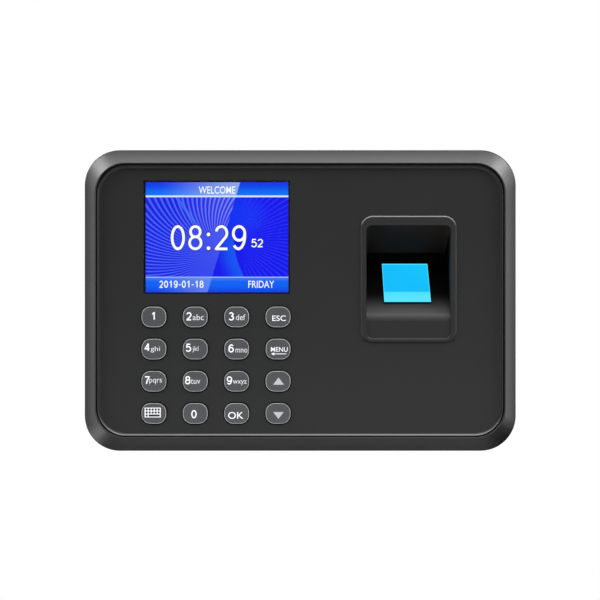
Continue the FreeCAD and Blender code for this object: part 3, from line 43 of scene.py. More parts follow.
# A wall-mounted fingerprint terminal. Lengths are metres; the front faces -Y and
# the wall is at y = 0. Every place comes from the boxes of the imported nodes.

MM = 0.001
KEYS = [name for name in sorted(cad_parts) if name.startswith("key_")]
FRONT_LOW, FRONT_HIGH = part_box("front_cover")
PANEL_RECESS = 2 * MM
PANEL_Y = FRONT_LOW.y + PANEL_RECESS
WINDOW_LOW, WINDOW_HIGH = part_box("display_window")
GLASS_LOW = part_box("display_glass")[0]
SCREEN_SIZE = Vector((57.6 * MM, 0, 44.4 * MM))
SCREEN_CENTRE = (WINDOW_LOW + WINDOW_HIGH) / 2
SCREEN_LOW = SCREEN_CENTRE - SCREEN_SIZE / 2
KEY_FACE_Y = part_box("key_1")[0].y
BEVEL_DROP = 4 * MM
CREST_INSET = Vector((5.2 * MM, 0, 6 * MM))
PANEL_CORNER = 11.8 * MM
PANEL_OUTLINE = (
    FRONT_HIGH.x - FRONT_LOW.x - 2 * CREST_INSET.x,
    FRONT_HIGH.z - FRONT_LOW.z - 2 * CREST_INSET.z,
    PANEL_CORNER,
)

HALF_VIEW = math.radians(16.005)
CAMERA_DISTANCE = 420 * MM
CAMERA_X = -0.1 * MM
CAMERA_Z = 0.2 * MM
FLOOR_RADIUS = 0.6
FLOOR_Z = -0.8
BACK_FILL = 0.008
FRONT_FILL = 0.058

# Each softbox: name, place, width, height and power.
LAMPS = [
    ("front_low", (0.1, -1.2, -0.4), 1.4, 0.6, 4),
    ("upper_front", (0.12, -0.55, 0.75), 0.6, 0.22, 3.8),
    ("top", (0.0, -0.2, 0.7), 1.0, 0.3, 1.55),
    ("left", (-0.8, -0.28, 0.1), 0.3, 0.7, 1.6),
    ("right", (0.8, -0.28, 0.1), 0.3, 0.7, 2.9),
    ("upper_left", (-0.55, -0.22, 0.5), 0.22, 0.22, 2.6),
    ("upper_right", (0.55, -0.22, 0.5), 0.22, 0.22, 2.6),
    ("lower_left", (-0.55, -0.22, -0.42), 0.18, 0.18, 0.9),
    ("back_fill", (0.6, 1.3, 0.15), 0.8, 0.8, 7),
]


# ---------------------------------------------------------------- camera, light and floor

def make_camera():
    """Straight on, level with the middle of the panel."""
    camera = bpy.data.cameras.new("Camera")
    camera.sensor_width = 36
    camera.lens = camera.sensor_width / 2 / math.tan(HALF_VIEW)
    holder = bpy.data.objects.new("Camera", camera)
    holder.location = (CAMERA_X, PANEL_Y - CAMERA_DISTANCE, CAMERA_Z)
    holder.rotation_euler = (math.radians(90), 0, 0)
    bpy.context.scene.collection.objects.link(holder)
    bpy.context.scene.camera = holder


def make_lamp(name, place, width, height, power):
    """A rectangular softbox that faces the middle of the panel."""
    lamp = bpy.data.lights.new(name, "AREA")
    lamp.shape = "RECTANGLE"
    lamp.size = width
    lamp.size_y = height
    lamp.energy = power
    holder = bpy.data.objects.new(name, lamp)
    holder.location = place
    aim = Vector((0, PANEL_Y, 0)) - Vector(place)
    holder.rotation_euler = aim.to_track_quat("-Z", "Y").to_euler()
    bpy.context.scene.collection.objects.link(holder)


def make_world():
    """A white backdrop that lights the object only gently, and more from the front."""
    world = bpy.data.worlds.new("Studio")
    bpy.context.scene.world = world
    world.use_nodes = True
    nodes = world.node_tree.nodes
    links = world.node_tree.links
    seen = nodes["Background"]
    seen.inputs["Color"].default_value = (1, 1, 1, 1)
    seen.inputs["Strength"].default_value = 1
    fill = nodes.new("ShaderNodeBackground")
    fill.inputs["Color"].default_value = (0.96, 0.98, 1, 1)
    direction = nodes.new("ShaderNodeTexCoord")
    split = nodes.new("ShaderNodeSeparateXYZ")
    links.new(direction.outputs["Generated"], split.inputs[0])
    frontness = Field(world.node_tree, split.outputs["Y"]).step(0.15, -0.6)
    strength = (frontness * FRONT_FILL) + BACK_FILL
    links.new(strength.socket, fill.inputs["Strength"])
    path = nodes.new("ShaderNodeLightPath")
    mix = nodes.new("ShaderNodeMixShader")
    links.new(path.outputs["Is Camera Ray"], mix.inputs[0])
    links.new(fill.outputs[0], mix.inputs[1])
    links.new(seen.outputs[0], mix.inputs[2])
    links.new(mix.outputs[0], nodes["World Output"].inputs["Surface"])
    bpy.context.scene.view_settings.view_transform = "Standard"


def make_floor():
    """A plain pale disc well below the object."""
    mesh = bpy.data.meshes.new("floor")
    shape = bmesh.new()
    bmesh.ops.create_circle(shape, cap_ends=True, segments=96, radius=FLOOR_RADIUS)
    shape.to_mesh(mesh)
    shape.free()
    floor = bpy.data.objects.new("floor", mesh)
    floor.location = (0, 0, FLOOR_Z)
    bpy.context.scene.collection.objects.link(floor)
    material, shader, field = new_material("floor_paint", (0.86, 0.86, 0.85), 0.6)
    speckle = field.noise(40, 3)
    set_colour(shader, field.mix((0.84, 0.84, 0.83), (0.88, 0.88, 0.87), speckle))
    mesh.materials.append(material)


# ---------------------------------------------------------------- material building blocks

NOISE_ROUGHNESS = 0.55
SPARK_GRAIN = 2600  # features per metre of the fine texture on moulded plastic


class Field:
    """A number that varies over a surface, built from maths nodes."""

    def __init__(self, tree, socket):
        self.tree = tree
        self.socket = socket

    def use(self, operation, *others):
        """Apply one maths operation to this field and others, or plain numbers."""
        node = self.tree.nodes.new("ShaderNodeMath")
        node.operation = operation
        for slot, value in enumerate((self,) + others):
            if isinstance(value, Field):
                self.tree.links.new(value.socket, node.inputs[slot])
            else:
                node.inputs[slot].default_value = value
        return Field(self.tree, node.outputs[0])

    def __add__(self, other):
        return self.use("ADD", other)

    def __sub__(self, other):
        return self.use("SUBTRACT", other)

    def __mul__(self, other):
        return self.use("MULTIPLY", other)

    def __truediv__(self, other):
        return self.use("DIVIDE", other)

    def sine(self):
        return self.use("SINE")

    def power(self, exponent):
        return self.use("POWER", exponent)

    def flip(self):
        """One minus the field."""
        return (self * -1) + 1

    def step(self, start, end):
        """A smooth rise from 0 to 1 between two values."""
        node = self.tree.nodes.new("ShaderNodeMapRange")
        node.interpolation_type = "SMOOTHSTEP"
        self.tree.links.new(self.socket, node.inputs["Value"])
        node.inputs["From Min"].default_value = start
        node.inputs["From Max"].default_value = end
        return Field(self.tree, node.outputs["Result"])


class Surface:
    """The coordinates and patterns of one material."""

    def __init__(self, tree):
        self.tree = tree
        self.coordinates = tree.nodes.new("ShaderNodeTexCoord")

    def axis(self, name):
        """One coordinate as a Field."""
        split = self.tree.nodes.new("ShaderNodeSeparateXYZ")
        self.tree.links.new(self.coordinates.outputs["Object"], split.inputs[0])
        return Field(self.tree, split.outputs[name])

    def noise(self, scale, detail, stretch=(1, 1, 1)):
        """Cloudy noise with a number of features per metre."""
        mapping = self.tree.nodes.new("ShaderNodeMapping")
        mapping.inputs["Scale"].default_value = stretch
        self.tree.links.new(self.coordinates.outputs["Object"], mapping.inputs["Vector"])
        node = self.tree.nodes.new("ShaderNodeTexNoise")
        node.inputs["Scale"].default_value = scale
        node.inputs["Detail"].default_value = detail
        node.inputs["Roughness"].default_value = NOISE_ROUGHNESS
        self.tree.links.new(mapping.outputs[0], node.inputs["Vector"])
        return Field(self.tree, node.outputs["Fac"])

    def cells(self, scale):
        """Distance to scattered points."""
        node = self.tree.nodes.new("ShaderNodeTexVoronoi")
        node.inputs["Scale"].default_value = scale
        self.tree.links.new(self.coordinates.outputs["Object"], node.inputs["Vector"])
        return Field(self.tree, node.outputs["Distance"])

    def edges(self, radius):
        """1 along convex and hollow edges, 0 on flat stretches."""
        bevel = self.tree.nodes.new("ShaderNodeBevel")
        bevel.samples = 4
        bevel.inputs["Radius"].default_value = radius
        geometry = self.tree.nodes.new("ShaderNodeNewGeometry")
        dot = self.tree.nodes.new("ShaderNodeVectorMath")
        dot.operation = "DOT_PRODUCT"
        self.tree.links.new(bevel.outputs[0], dot.inputs[0])
        self.tree.links.new(geometry.outputs["Normal"], dot.inputs[1])
        return Field(self.tree, dot.outputs["Value"]).flip().step(0.002, 0.12)

    def outline(self, width, height, radius):
        """Distance from an upright rounded rectangle round the origin, negative inside."""
        across = self.axis("X").use("ABSOLUTE") - (width / 2 - radius)
        up = self.axis("Z").use("ABSOLUTE") - (height / 2 - radius)
        across = across.use("MAXIMUM", 0.0)
        up = up.use("MAXIMUM", 0.0)
        return (across * across + up * up).use("SQRT") - radius

    def facing(self, name):
        """One component of the surface's own normal, as a Field."""
        geometry = self.tree.nodes.new("ShaderNodeNewGeometry")
        split = self.tree.nodes.new("ShaderNodeSeparateXYZ")
        self.tree.links.new(geometry.outputs["True Normal"], split.inputs[0])
        return Field(self.tree, split.outputs[name])

    def mix(self, first, second, factor):
        """A colour between two colours or colour sockets."""
        node = self.tree.nodes.new("ShaderNodeMix")
        node.data_type = "RGBA"
        for slot, colour in ((6, first), (7, second)):
            if isinstance(colour, tuple):
                node.inputs[slot].default_value = (*colour, 1)
            else:
                self.tree.links.new(colour, node.inputs[slot])
        if isinstance(factor, Field):
            self.tree.links.new(factor.socket, node.inputs[0])
        else:
            node.inputs[0].default_value = factor
        return node.outputs[2]

    def bump(self, shader, height, distance, strength=0.5):
        """Raise the surface by a field."""
        node = self.tree.nodes.new("ShaderNodeBump")
        node.inputs["Distance"].default_value = distance
        node.inputs["Strength"].default_value = strength
        self.tree.links.new(height.socket, node.inputs["Height"])
        self.tree.links.new(node.outputs[0], shader.inputs["Normal"])


def new_material(name, colour, roughness, metallic=0.0):
    """A principled material with its shader and its surface patterns."""
    material = bpy.data.materials.new(name)
    material.use_nodes = True
    shader = material.node_tree.nodes["Principled BSDF"]
    shader.inputs["Base Color"].default_value = (*colour, 1)
    shader.inputs["Roughness"].default_value = roughness
    shader.inputs["Metallic"].default_value = metallic
    material.diffuse_color = (*colour, 1)
    return material, shader, Surface(material.node_tree)


def set_colour(shader, socket):
    """Drive the base colour."""
    shader.id_data.links.new(socket, shader.inputs["Base Color"])


def set_roughness(shader, field):
    """Drive the roughness."""
    shader.id_data.links.new(field.socket, shader.inputs["Roughness"])


def set_glow(shader, socket, strength, gloss=0.5):
    """Give the surface its own light, and the gloss that is left over it."""
    shader.id_data.links.new(socket, shader.inputs["Emission Color"])
    shader.inputs["Emission Strength"].default_value = strength
    shader.inputs["Specular IOR Level"].default_value = gloss


def scaled(colour, factor):
    """A lighter or darker copy of a colour."""
    return tuple(channel * factor for channel in colour)


# ---------------------------------------------------------------- materials

RUBBED_GAIN = 1.35  # how much lighter a rubbed edge is


def moulded_plastic(name, colour, roughness, grain=SPARK_GRAIN, relief=0.02 * MM):
    """Moulded plastic: fine spark texture, slow colour drift and burnished edges."""
    material, shader, surface = new_material(name, colour, roughness)
    texture = surface.noise(grain, 3)
    drift = surface.noise(28, 4)
    rubbed = surface.edges(0.35 * MM) * surface.noise(260, 5).step(0.3, 0.7)
    base = surface.mix(scaled(colour, 0.93), scaled(colour, 1.07), drift)
    set_colour(shader, surface.mix(base, scaled(colour, RUBBED_GAIN), rubbed))
    sheen_drift = (surface.noise(90, 5) - 0.5) * 0.12
    set_roughness(shader, (texture * 0.08) + sheen_drift + (roughness - 0.04) - (rubbed * 0.1))
    surface.bump(shader, texture, relief, 0.35)
    return material


def clear_plastic(name, colour, roughness=0.02):
    """Clear polished plastic with the faintest ripple."""
    material, shader, surface = new_material(name, colour, roughness)
    shader.inputs["Transmission Weight"].default_value = 1
    shader.inputs["IOR"].default_value = 1.49
    haze = surface.noise(120, 3) * 0.02
    set_roughness(shader, haze + roughness)
    surface.bump(shader, surface.noise(60, 2), 0.01 * MM, 0.05)
    return material


def sheet_metal(name, colour, roughness):
    """Rolled or drawn metal with streaks along one way."""
    material, shader, surface = new_material(name, colour, roughness, 1.0)
    streaks = surface.noise(900, 4, (1, 1, 14))
    stains = surface.noise(45, 4)
    set_colour(shader, surface.mix(scaled(colour, 0.82), scaled(colour, 1.08), stains))
    set_roughness(shader, (streaks * 0.22) + (roughness - 0.1))
    surface.bump(shader, streaks, 0.01 * MM, 0.3)
    return material


def coated_metal(name, colour):
    """Powder-coated steel with orange-peel skin and rubbed edges."""
    material, shader, surface = new_material(name, colour, 0.5)
    peel = surface.noise(1100, 2)
    rubbed = surface.edges(0.4 * MM) * surface.noise(300, 5).step(0.45, 0.75)
    base = surface.mix(scaled(colour, 0.9), scaled(colour, 1.1), surface.noise(35, 4))
    set_colour(shader, surface.mix(base, (0.42, 0.42, 0.42), rubbed * 0.6))
    set_roughness(shader, (peel * 0.2) + 0.36)
    surface.bump(shader, peel, 0.05 * MM, 0.4)
    return material


def well_plastic():
    """The case's plastic, with painted light down the well: painted shade that darkens it deeper in,
    lighter and darker copies by facing, a painted highlight on the trim's up-facing top edge, and a
    warmer, lighter painted tone on the down-facing ceiling.
    """
    colour = (0.0165, 0.0167, 0.017)
    # Painted shade: the near-black colour the walls take deep in the well.
    deep_painted_shade = (0.0012, 0.0012, 0.0013)
    # Painted highlight: the light colour of the trim's up-facing top edge.
    trim_highlight = (0.2, 0.201, 0.204)
    # Painted light: a warmer, lighter tone for the down-facing ceiling, which cancels the sensor's
    # blue light on it.
    ceiling_painted_tone = (0.024, 0.0185, 0.0165)
    dark_below = 9 * MM
    lit_above = 0.8 * MM
    material, shader, surface = new_material("well_plastic", colour, 0.36)
    mouth_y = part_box("finger_well")[0].y
    reach = surface.axis("Y") - mouth_y
    # Painted shade: 1 near the mouth, 0 deep inside; the colour goes toward the deep painted shade
    # and the gloss fades with it.
    shade = reach.step(dark_below, lit_above).power(1.5)
    # Down-facing ceiling faces skip the painted shade and take the painted ceiling tone.
    ceiling = surface.facing("Z").step(-0.2, -0.6)
    texture = surface.noise(SPARK_GRAIN, 3)
    drift = surface.noise(28, 4)
    base = surface.mix(scaled(colour, 0.93), scaled(colour, 1.07), drift)
    # Painted light: faces that look straight out keep a darker copy of the colour, and the well's
    # other faces a lighter copy.
    front = surface.facing("Y").step(-0.99, -0.999)
    # Painted highlight: up-facing faces near the top of the trim, at the mouth, take the light trim
    # colour.
    brow_highlight = surface.facing("Z").step(0.1, 0.5) * surface.axis("Z").step(26 * MM, 29 * MM) * shade
    base = surface.mix(base, scaled(colour, 0.4), front)
    walls = surface.mix(deep_painted_shade, base, shade)
    walls = surface.mix(walls, trim_highlight, brow_highlight)
    set_colour(shader, surface.mix(walls, ceiling_painted_tone, ceiling))
    gloss = (shade * ceiling.flip() * 0.48) + 0.02
    shader.id_data.links.new(gloss.socket, shader.inputs["Specular IOR Level"])
    set_roughness(shader, (texture * 0.1) + 0.48 - (brow_highlight * 0.2))
    surface.bump(shader, texture, 0.015 * MM, 0.3)
    return material


def case_plastic():
    """The front cover: a matt panel, and a smoother rim with painted light: a lighter copy of the
    panel's plastic that grows to a painted highlight at the crest, painted shade on its down-facing
    side, and a painted highlight on up-facing faces inside the panel.
    """
    panel = (0.0076, 0.0077, 0.0079)
    # Painted light: the rim takes a lighter copy of the panel's plastic, growing to a painted
    # highlight at the crest.
    rim = (0.027, 0.0273, 0.028)
    crest_highlight = (0.088, 0.0883, 0.09)
    side = (0.007, 0.007, 0.0073)
    # Painted shade: the darker colours of the rim's down-facing side, from its foot to its crest.
    bottom_foot = (0.007, 0.0071, 0.0073)
    bottom_crest = (0.021, 0.0212, 0.0216)
    # Painted highlight: the light colour of up-facing faces inside the panel's outline.
    sill_highlight = (0.13, 0.131, 0.133)
    material, shader, surface = new_material("case_plastic", panel, 0.44)
    lean = surface.facing("Y")
    tilted = lean.step(-0.995, -0.93)
    sideways = lean.step(-0.75, -0.6)
    inside = surface.outline(*PANEL_OUTLINE).step(0.1 * MM, -0.1 * MM)
    height = surface.axis("Y").step(FRONT_LOW.y + BEVEL_DROP, FRONT_LOW.y)
    below = surface.facing("Z").step(-0.15, -0.35)
    texture = surface.noise(SPARK_GRAIN, 3)
    drift = surface.noise(22, 4)
    flat = surface.mix(scaled(panel, 0.93), scaled(panel, 1.07), drift)
    # Painted highlight: lighter toward the crest on the rim's slope.
    slope = surface.mix(surface.mix(rim, crest_highlight, height), scaled(rim, 0.9), drift * 0.35)
    # Painted shade on down-facing rim faces.
    shaded = surface.mix(bottom_foot, bottom_crest, height)
    slope = surface.mix(slope, shaded, below)
    front = surface.mix(flat, slope, tilted * inside.flip())
    # Painted highlight on up-facing faces inside the panel's outline.
    sill = surface.facing("Z").step(0.1, 0.45) * inside
    front = surface.mix(front, sill_highlight, sill)
    set_colour(shader, surface.mix(front, side, sideways))
    worn = (texture * 0.1) + (surface.noise(70, 4) * 0.08) + 0.36
    set_roughness(shader, worn - (tilted * 0.08) + (sideways * 0.15))
    surface.bump(shader, texture, 0.02 * MM, 0.3)
    return material


def circuit_board(name):
    """Green solder mask over copper tracks, with glass weave underneath."""
    material, shader, surface = new_material(name, (0.015, 0.12, 0.05), 0.3)
    across = (surface.axis("X") * 2400).sine()
    along = (surface.axis("Z") * 2400).sine()
    weave = (across * along) * 0.5 + 0.5
    lanes = (surface.axis("X") * 1700 + (surface.noise(70, 2).step(0.48, 0.52) * 9)).sine()
    tracks = lanes.step(0.15, 0.35) * surface.noise(55, 2).step(0.46, 0.5)
    mask = surface.mix((0.012, 0.10, 0.045), (0.016, 0.135, 0.058), weave)
    copper = surface.mix(mask, (0.05, 0.24, 0.10), tracks)
    pads = surface.cells(420).step(0.16, 0.12) * surface.noise(90, 1).step(0.55, 0.57)
    set_colour(shader, surface.mix(copper, (0.62, 0.55, 0.42), pads))
    surface.bump(shader, tracks, 0.03 * MM, 0.4)
    return material


def soft_rubber(name, colour, roughness=0.6, grain=1500):
    """Rubber, foam or cable sheath with a dull, dusty skin."""
    material, shader, surface = new_material(name, colour, roughness)
    dust = surface.noise(200, 5)
    pores = surface.noise(grain, 3)
    set_colour(shader, surface.mix(scaled(colour, 0.85), scaled(colour, 1.3), dust))
    set_roughness(shader, (pores * 0.2) + (roughness - 0.1))
    surface.bump(shader, pores, 0.05 * MM, 0.4)
    return material


def key_plastic():
    """Smoky key caps: darker core, fine speckle, a painted highlight along the edges, and painted
    shade on the sides below the face.
    """
    colour = (0.068, 0.0725, 0.081)
    material, shader, surface = new_material("smoky_key", colour, 0.34)
    speckle = surface.noise(3200, 3)
    cloud = surface.noise(160, 3)
    base = surface.mix(scaled(colour, 0.86), scaled(colour, 1.16), cloud)
    # Painted highlight: a lighter colour along the cap's edges.
    rim = surface.edges(0.4 * MM)
    cap = surface.mix(base, (0.12, 0.126, 0.133), rim)
    # Painted shade: the cap's sides below its face go near black, a dark ring in the gap to the
    # panel.
    foot = surface.axis("Y").step(KEY_FACE_Y + 0.14 * MM, KEY_FACE_Y + 0.32 * MM)
    set_colour(shader, surface.mix(cap, (0.006, 0.006, 0.0065), foot))
    set_roughness(shader, (speckle * 0.14) + 0.28)
    surface.bump(shader, speckle, 0.02 * MM, 0.3)
    return material


def key_rim_highlight():
    """A light bead round a key's face: a painted highlight on the cap's edge."""
    material, shader, surface = new_material("key_edge_highlight", (0.36, 0.37, 0.385), 0.25)
    shine = surface.noise(700, 4)
    set_colour(shader, surface.mix((0.4, 0.41, 0.41), (0.6, 0.61, 0.61), shine))
    set_roughness(shader, (shine * 0.15) + 0.18)
    return material


def legend_ink(name, cover):
    """White printed ink with a faint painted glow; thin letters cover the cap only in part."""
    material, shader, surface = new_material(name, (0.8, 0.82, 0.85), 0.5)
    speckle = surface.noise(SPARK_GRAIN, 4)
    low = scaled((0.68, 0.7, 0.73), cover)
    high = scaled((0.86, 0.88, 0.9), cover)
    set_colour(shader, surface.mix(low, high, speckle))
    surface.bump(shader, speckle, 0.01 * MM, 0.3)
    # Painted light: the ink also glows a little.
    set_glow(shader, surface.mix(low, high, speckle), 0.4 * cover)
    return material


def lit_text():
    """Bright white letters on the screen."""
    material, shader, surface = new_material("lit_text", (0.0, 0.0, 0.0), 0.4)
    ripple = surface.noise(5000, 1)
    set_glow(shader, surface.mix((0.92, 0.97, 1.0), (1.0, 1.0, 1.0), ripple), 1.1, 0.0)
    return material


def text_shadow():
    """The dark blue outline round the time."""
    material, shader, surface = new_material("text_shadow", (0.0, 0.0, 0.0), 0.4)
    ripple = surface.noise(3000, 2)
    set_glow(shader, surface.mix((0.002, 0.006, 0.3), (0.004, 0.012, 0.45), ripple), 1.0, 0.0)
    return material


def screen_picture():
    """Deep blue wallpaper: two fans of fine curved lines, a pale wedge, and two bars."""
    material, shader, surface = new_material("screen_picture", (0, 0, 0), 0.3)
    u = (surface.axis("X") - SCREEN_LOW.x) / SCREEN_SIZE.x
    v = (surface.axis("Z") - SCREEN_LOW.z) / SCREEN_SIZE.z

    def fan(centre_u, centre_v, lines, curl):
        """Fine lines that leave a point and curl as they go out."""
        across = u - centre_u
        up = v - centre_v
        angle = up.use("ARCTAN2", across)
        reach = (across * across + up * up).use("SQRT")
        return ((angle * lines) + (reach * curl)).sine()

    def near(field, value, width):
        """1 where a field is close to a value."""
        return (field - value).use("ABSOLUTE").step(width, width * 0.4)

    pale = (0.42, 0.58, 0.92)
    edge = (v * 0.229) + 0.433
    left = (u - edge).step(0.003, -0.003)
    right = left.flip()
    field = surface.mix((0.0078, 0.017, 0.83), (0.007, 0.0072, 0.9), u.step(0.1, 0.7))
    bow = (v - 0.5).power(2) * 0.56 + 0.617
    inside = (u - bow).step(0.004, -0.004)
    near_bow = (bow - u).step(0.16, 0.0)
    low_azure = inside * near_bow * right * v.step(0.62, 0.4)
    field = surface.mix(field, (0.007, 0.1, 0.95), low_azure)
    patch_u = u - 0.66
    patch_v = v - 0.7
    patch = (patch_u * patch_u + patch_v * patch_v).step(0.05, 0.0)
    field = surface.mix(field, (0.004, 0.036, 0.98), patch * right * 0.9)
    left_lines = fan(0.53, 0.36, 96, 62).step(-0.2, 0.9)
    right_lines = fan(0.6, 0.47, 74, 14).step(0.2, 1.0) * inside.flip() * right
    field = surface.mix(field, (0.075, 0.13, 0.97), left_lines * left)
    field = surface.mix(field, (0.025, 0.04, 1.0), right_lines * u.step(0.64, 0.74) * 0.8)
    streak = near(u + (v * 0.55), 0.693, 0.018) * v.step(0.5, 0.7)
    field = surface.mix(field, (0.04, 0.17, 0.93), streak * 0.8)
    wash = left * (u / edge).step(0.1, 1.15)
    crown = v.step(0.1, 0.85)
    veil = wash.power(1.5) * ((left_lines * 0.3) + 0.08) * ((crown * 0.6) + 0.6)
    field = surface.mix(field, surface.mix((0.12, 0.26, 0.95), (0.42, 0.48, 0.93), crown), veil)
    header = v.step(0.868, 0.872)
    header_blue = surface.mix((0.002, 0.19, 0.98), (0.004, 0.05, 0.88), v.step(0.88, 0.985))
    field = surface.mix(field, surface.mix(header_blue, pale, wash * 0.75), header)
    footer = v.step(0.139, 0.136)
    footer_blue = surface.mix((0.003, 0.06, 0.9), (0.003, 0.13, 0.98), v.step(0.0, 0.07))
    footer_blue = surface.mix(footer_blue, (0.04, 0.2, 0.9), v.step(0.09, 0.13))
    field = surface.mix(field, surface.mix(footer_blue, pale, wash * 0.3), footer)
    field = surface.mix(field, (0.75, 0.86, 1.0), near(v, 0.873, 0.0115))
    field = surface.mix(field, (0.35, 0.48, 1.0), near(v, 0.137, 0.0075))
    set_glow(shader, field, 1.0, 0.0)
    return material


def sensor_glow():
    """Cyan light under the sensor's cover: bright edges and a paler foot."""
    material, shader, surface = new_material("sensor_glow", (0.0, 0.004, 0.01), 0.12)
    low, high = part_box("sensor_window")
    u = (surface.axis("X") - low.x) / (high.x - low.x)
    v = (surface.axis("Z") - low.z) / (high.z - low.z)
    body = surface.mix((0.009, 0.52, 1.0), (0.009, 0.58, 1.0), v.step(0.25, 0.9) * u)
    foot = v.step(0.292, 0.282)
    colour = surface.mix(body, (0.075, 0.76, 1.0), foot)
    side = (u - 0.5).use("ABSOLUTE").step(0.483, 0.49)
    top = v.step(0.972, 0.98)
    colour = surface.mix(colour, (0.1, 0.9, 1.0), side.use("MAXIMUM", top) * 0.8)
    front = surface.facing("Z").step(0.2, 0.4)
    set_glow(shader, surface.mix((0.0, 0.002, 0.004), colour, front), 0.97, 0.2)
    return material


def paper_cone():
    """Black pressed paper with fibres."""
    material, shader, surface = new_material("paper_cone", (0.02, 0.02, 0.021), 0.85)
    fibres = surface.noise(900, 5, (1, 1, 5))
    set_colour(shader, surface.mix((0.015, 0.015, 0.016), (0.045, 0.043, 0.04), fibres))
    surface.bump(shader, fibres, 0.08 * MM, 0.6)
    return material


def paint(node, material):
    """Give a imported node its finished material."""
    node_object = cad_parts[node]
    for material_slot in node_object.material_slots:
        material_slot.material = material


def paint_nodes():
    """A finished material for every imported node."""
    case = case_plastic()
    back = moulded_plastic("back_plastic", (0.030, 0.0305, 0.031), 0.5, 1900, 0.04 * MM)
    well = well_plastic()
    black = moulded_plastic("black_plastic", (0.012, 0.012, 0.012), 0.4)
    cream = moulded_plastic("cream_nylon", (0.62, 0.58, 0.48), 0.45)
    clear = clear_plastic("window_plastic", (0.97, 0.98, 1.0))
    clear.node_tree.nodes["Principled BSDF"].inputs["Specular IOR Level"].default_value = 0.0
    steel = sheet_metal("plated_steel", (0.6, 0.6, 0.61), 0.32)
    board = circuit_board("circuit_board")
    finishes = {
        "front_cover": case,
        "back_cover": back,
        "finger_well": well,
        "display_window": clear,
        "display_gasket": soft_rubber("black_foam", (0.012, 0.012, 0.012), 0.8, 2400),
        "display_glass": moulded_plastic("dark_glass", (0.004, 0.004, 0.005), 0.12, 400, 0.002 * MM),
        "backlight": moulded_plastic("white_guide", (0.75, 0.77, 0.78), 0.25),
        "display_tray": steel,
        "display_flex": moulded_plastic("amber_film", (0.45, 0.2, 0.03), 0.25),
        "keypad_mat": soft_rubber("silicone", (0.3, 0.31, 0.32), 0.5),
        "sensor_window": sensor_glow(),
        "sensor_prism": clear_plastic("prism_glass", (0.85, 0.95, 1.0)),
        "main_board": board,
        "sensor_camera_board": board,
        "sensor_light_board": board,
        "board_chips": moulded_plastic("chip_epoxy", (0.03, 0.03, 0.032), 0.5, 3000),
        "sensor_lamps": clear_plastic("lamp_resin", (0.75, 0.9, 1.0), 0.1),
        "capacitors": sheet_metal("can_aluminium", (0.7, 0.72, 0.75), 0.3),
        "crystal": sheet_metal("crystal_can", (0.75, 0.74, 0.7), 0.22),
        "coin_cell": sheet_metal("cell_nickel", (0.72, 0.71, 0.68), 0.25),
        "usb_port": steel,
        "wall_plate": coated_metal("plate_coat", (0.09, 0.09, 0.092)),
        "speaker_frame": coated_metal("basket_coat", (0.03, 0.03, 0.03)),
        "speaker_cone": paper_cone(),
        "speaker_leads": soft_rubber("lead_sheath", (0.25, 0.015, 0.012), 0.45),
        "sensor_cable": soft_rubber("cable_sheath", (0.03, 0.03, 0.032), 0.5),
    }
    for name in ("sensor_housing", "sensor_lens", "cell_holder", "network_jack",
                 "power_jack", "reset_switch", "reset_button"):
        finishes[name] = black
    for name in ("board_sockets", "sensor_connector"):
        finishes[name] = cream
    for name in ("case_screws", "lock_screw", "board_screws", "sensor_screws"):
        finishes[name] = steel
    smoky = key_plastic()
    for name in KEYS:
        finishes[name] = smoky
    for name, material in finishes.items():
        paint(name, material)


# ---------------------------------------------------------------- pieces

def add_piece(name, mesh, material, body):
    """A mesh that rides on a body of the terminal."""
    mesh.materials.clear()
    mesh.materials.append(material)
    piece = bpy.data.objects.new(name, mesh)
    bpy.context.scene.collection.objects.link(piece)
    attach(piece, body)


def upright(x, y, z):
    """Turns a flat drawing to face the front at a place."""
    return Matrix.Translation((x, y, z)) @ Matrix.Rotation(math.radians(90), 4, "X")


def lettering(text, height, centre, thickness, weight, stretch):
    """A mesh of letters of one overall height, centred on a point and facing the front."""
    curve = bpy.data.curves.new("lettering", "FONT")
    curve.body = text
    relief = 0.01
    curve.offset = weight
    curve.extrude = relief
    curve.resolution_u = 4
    holder = bpy.data.objects.new("lettering", curve)
    bpy.context.scene.collection.objects.link(holder)
    bpy.context.view_layer.update()
    evaluated = holder.evaluated_get(bpy.context.evaluated_depsgraph_get())
    mesh = bpy.data.meshes.new_from_object(evaluated)
    bpy.data.objects.remove(holder)
    xs = [vertex.co.x for vertex in mesh.vertices]
    ys = [vertex.co.y for vertex in mesh.vertices]
    middle = Vector(((min(xs) + max(xs)) / 2, (min(ys) + max(ys)) / 2, 0))
    scale = height / (max(ys) - min(ys))
    mesh.transform(Matrix.Translation(-middle))
    mesh.transform(Matrix.Diagonal((scale * stretch, scale, thickness / (2 * relief), 1)))
    mesh.transform(upright(*centre))
    return mesh


LAYERS = 7
LAYER = 0.001 * MM
LETTER_WEIGHT = 0.006


def polygon_mesh(outlines, thickness, centre):
    """Flat shapes, each a list of corners, facing the front.

    Neighbours differ by a hair in thickness, so that overlapping tops never lie in one plane.
    """
    shape = bmesh.new()
    for place, outline in enumerate(outlines):
        corners = [shape.verts.new((x, y, 0)) for x, y in outline]
        face = shape.faces.new(corners)
        raised = bmesh.ops.extrude_face_region(shape, geom=[face])
        lifted = [v for v in raised["geom"] if isinstance(v, bmesh.types.BMVert)]
        hair = (place % LAYERS) * LAYER
        bmesh.ops.translate(shape, verts=lifted, vec=(0, 0, thickness - hair))
    bmesh.ops.recalc_face_normals(shape, faces=shape.faces)
    mesh = bpy.data.meshes.new("shape")
    shape.to_mesh(mesh)
    shape.free()
    mesh.transform(upright(*centre))
    return mesh


def joined(meshes):
    """Several meshes as one."""
    shape = bmesh.new()
    for mesh in meshes:
        shape.from_mesh(mesh)
    result = bpy.data.meshes.new("joined")
    shape.to_mesh(result)
    shape.free()
    return result


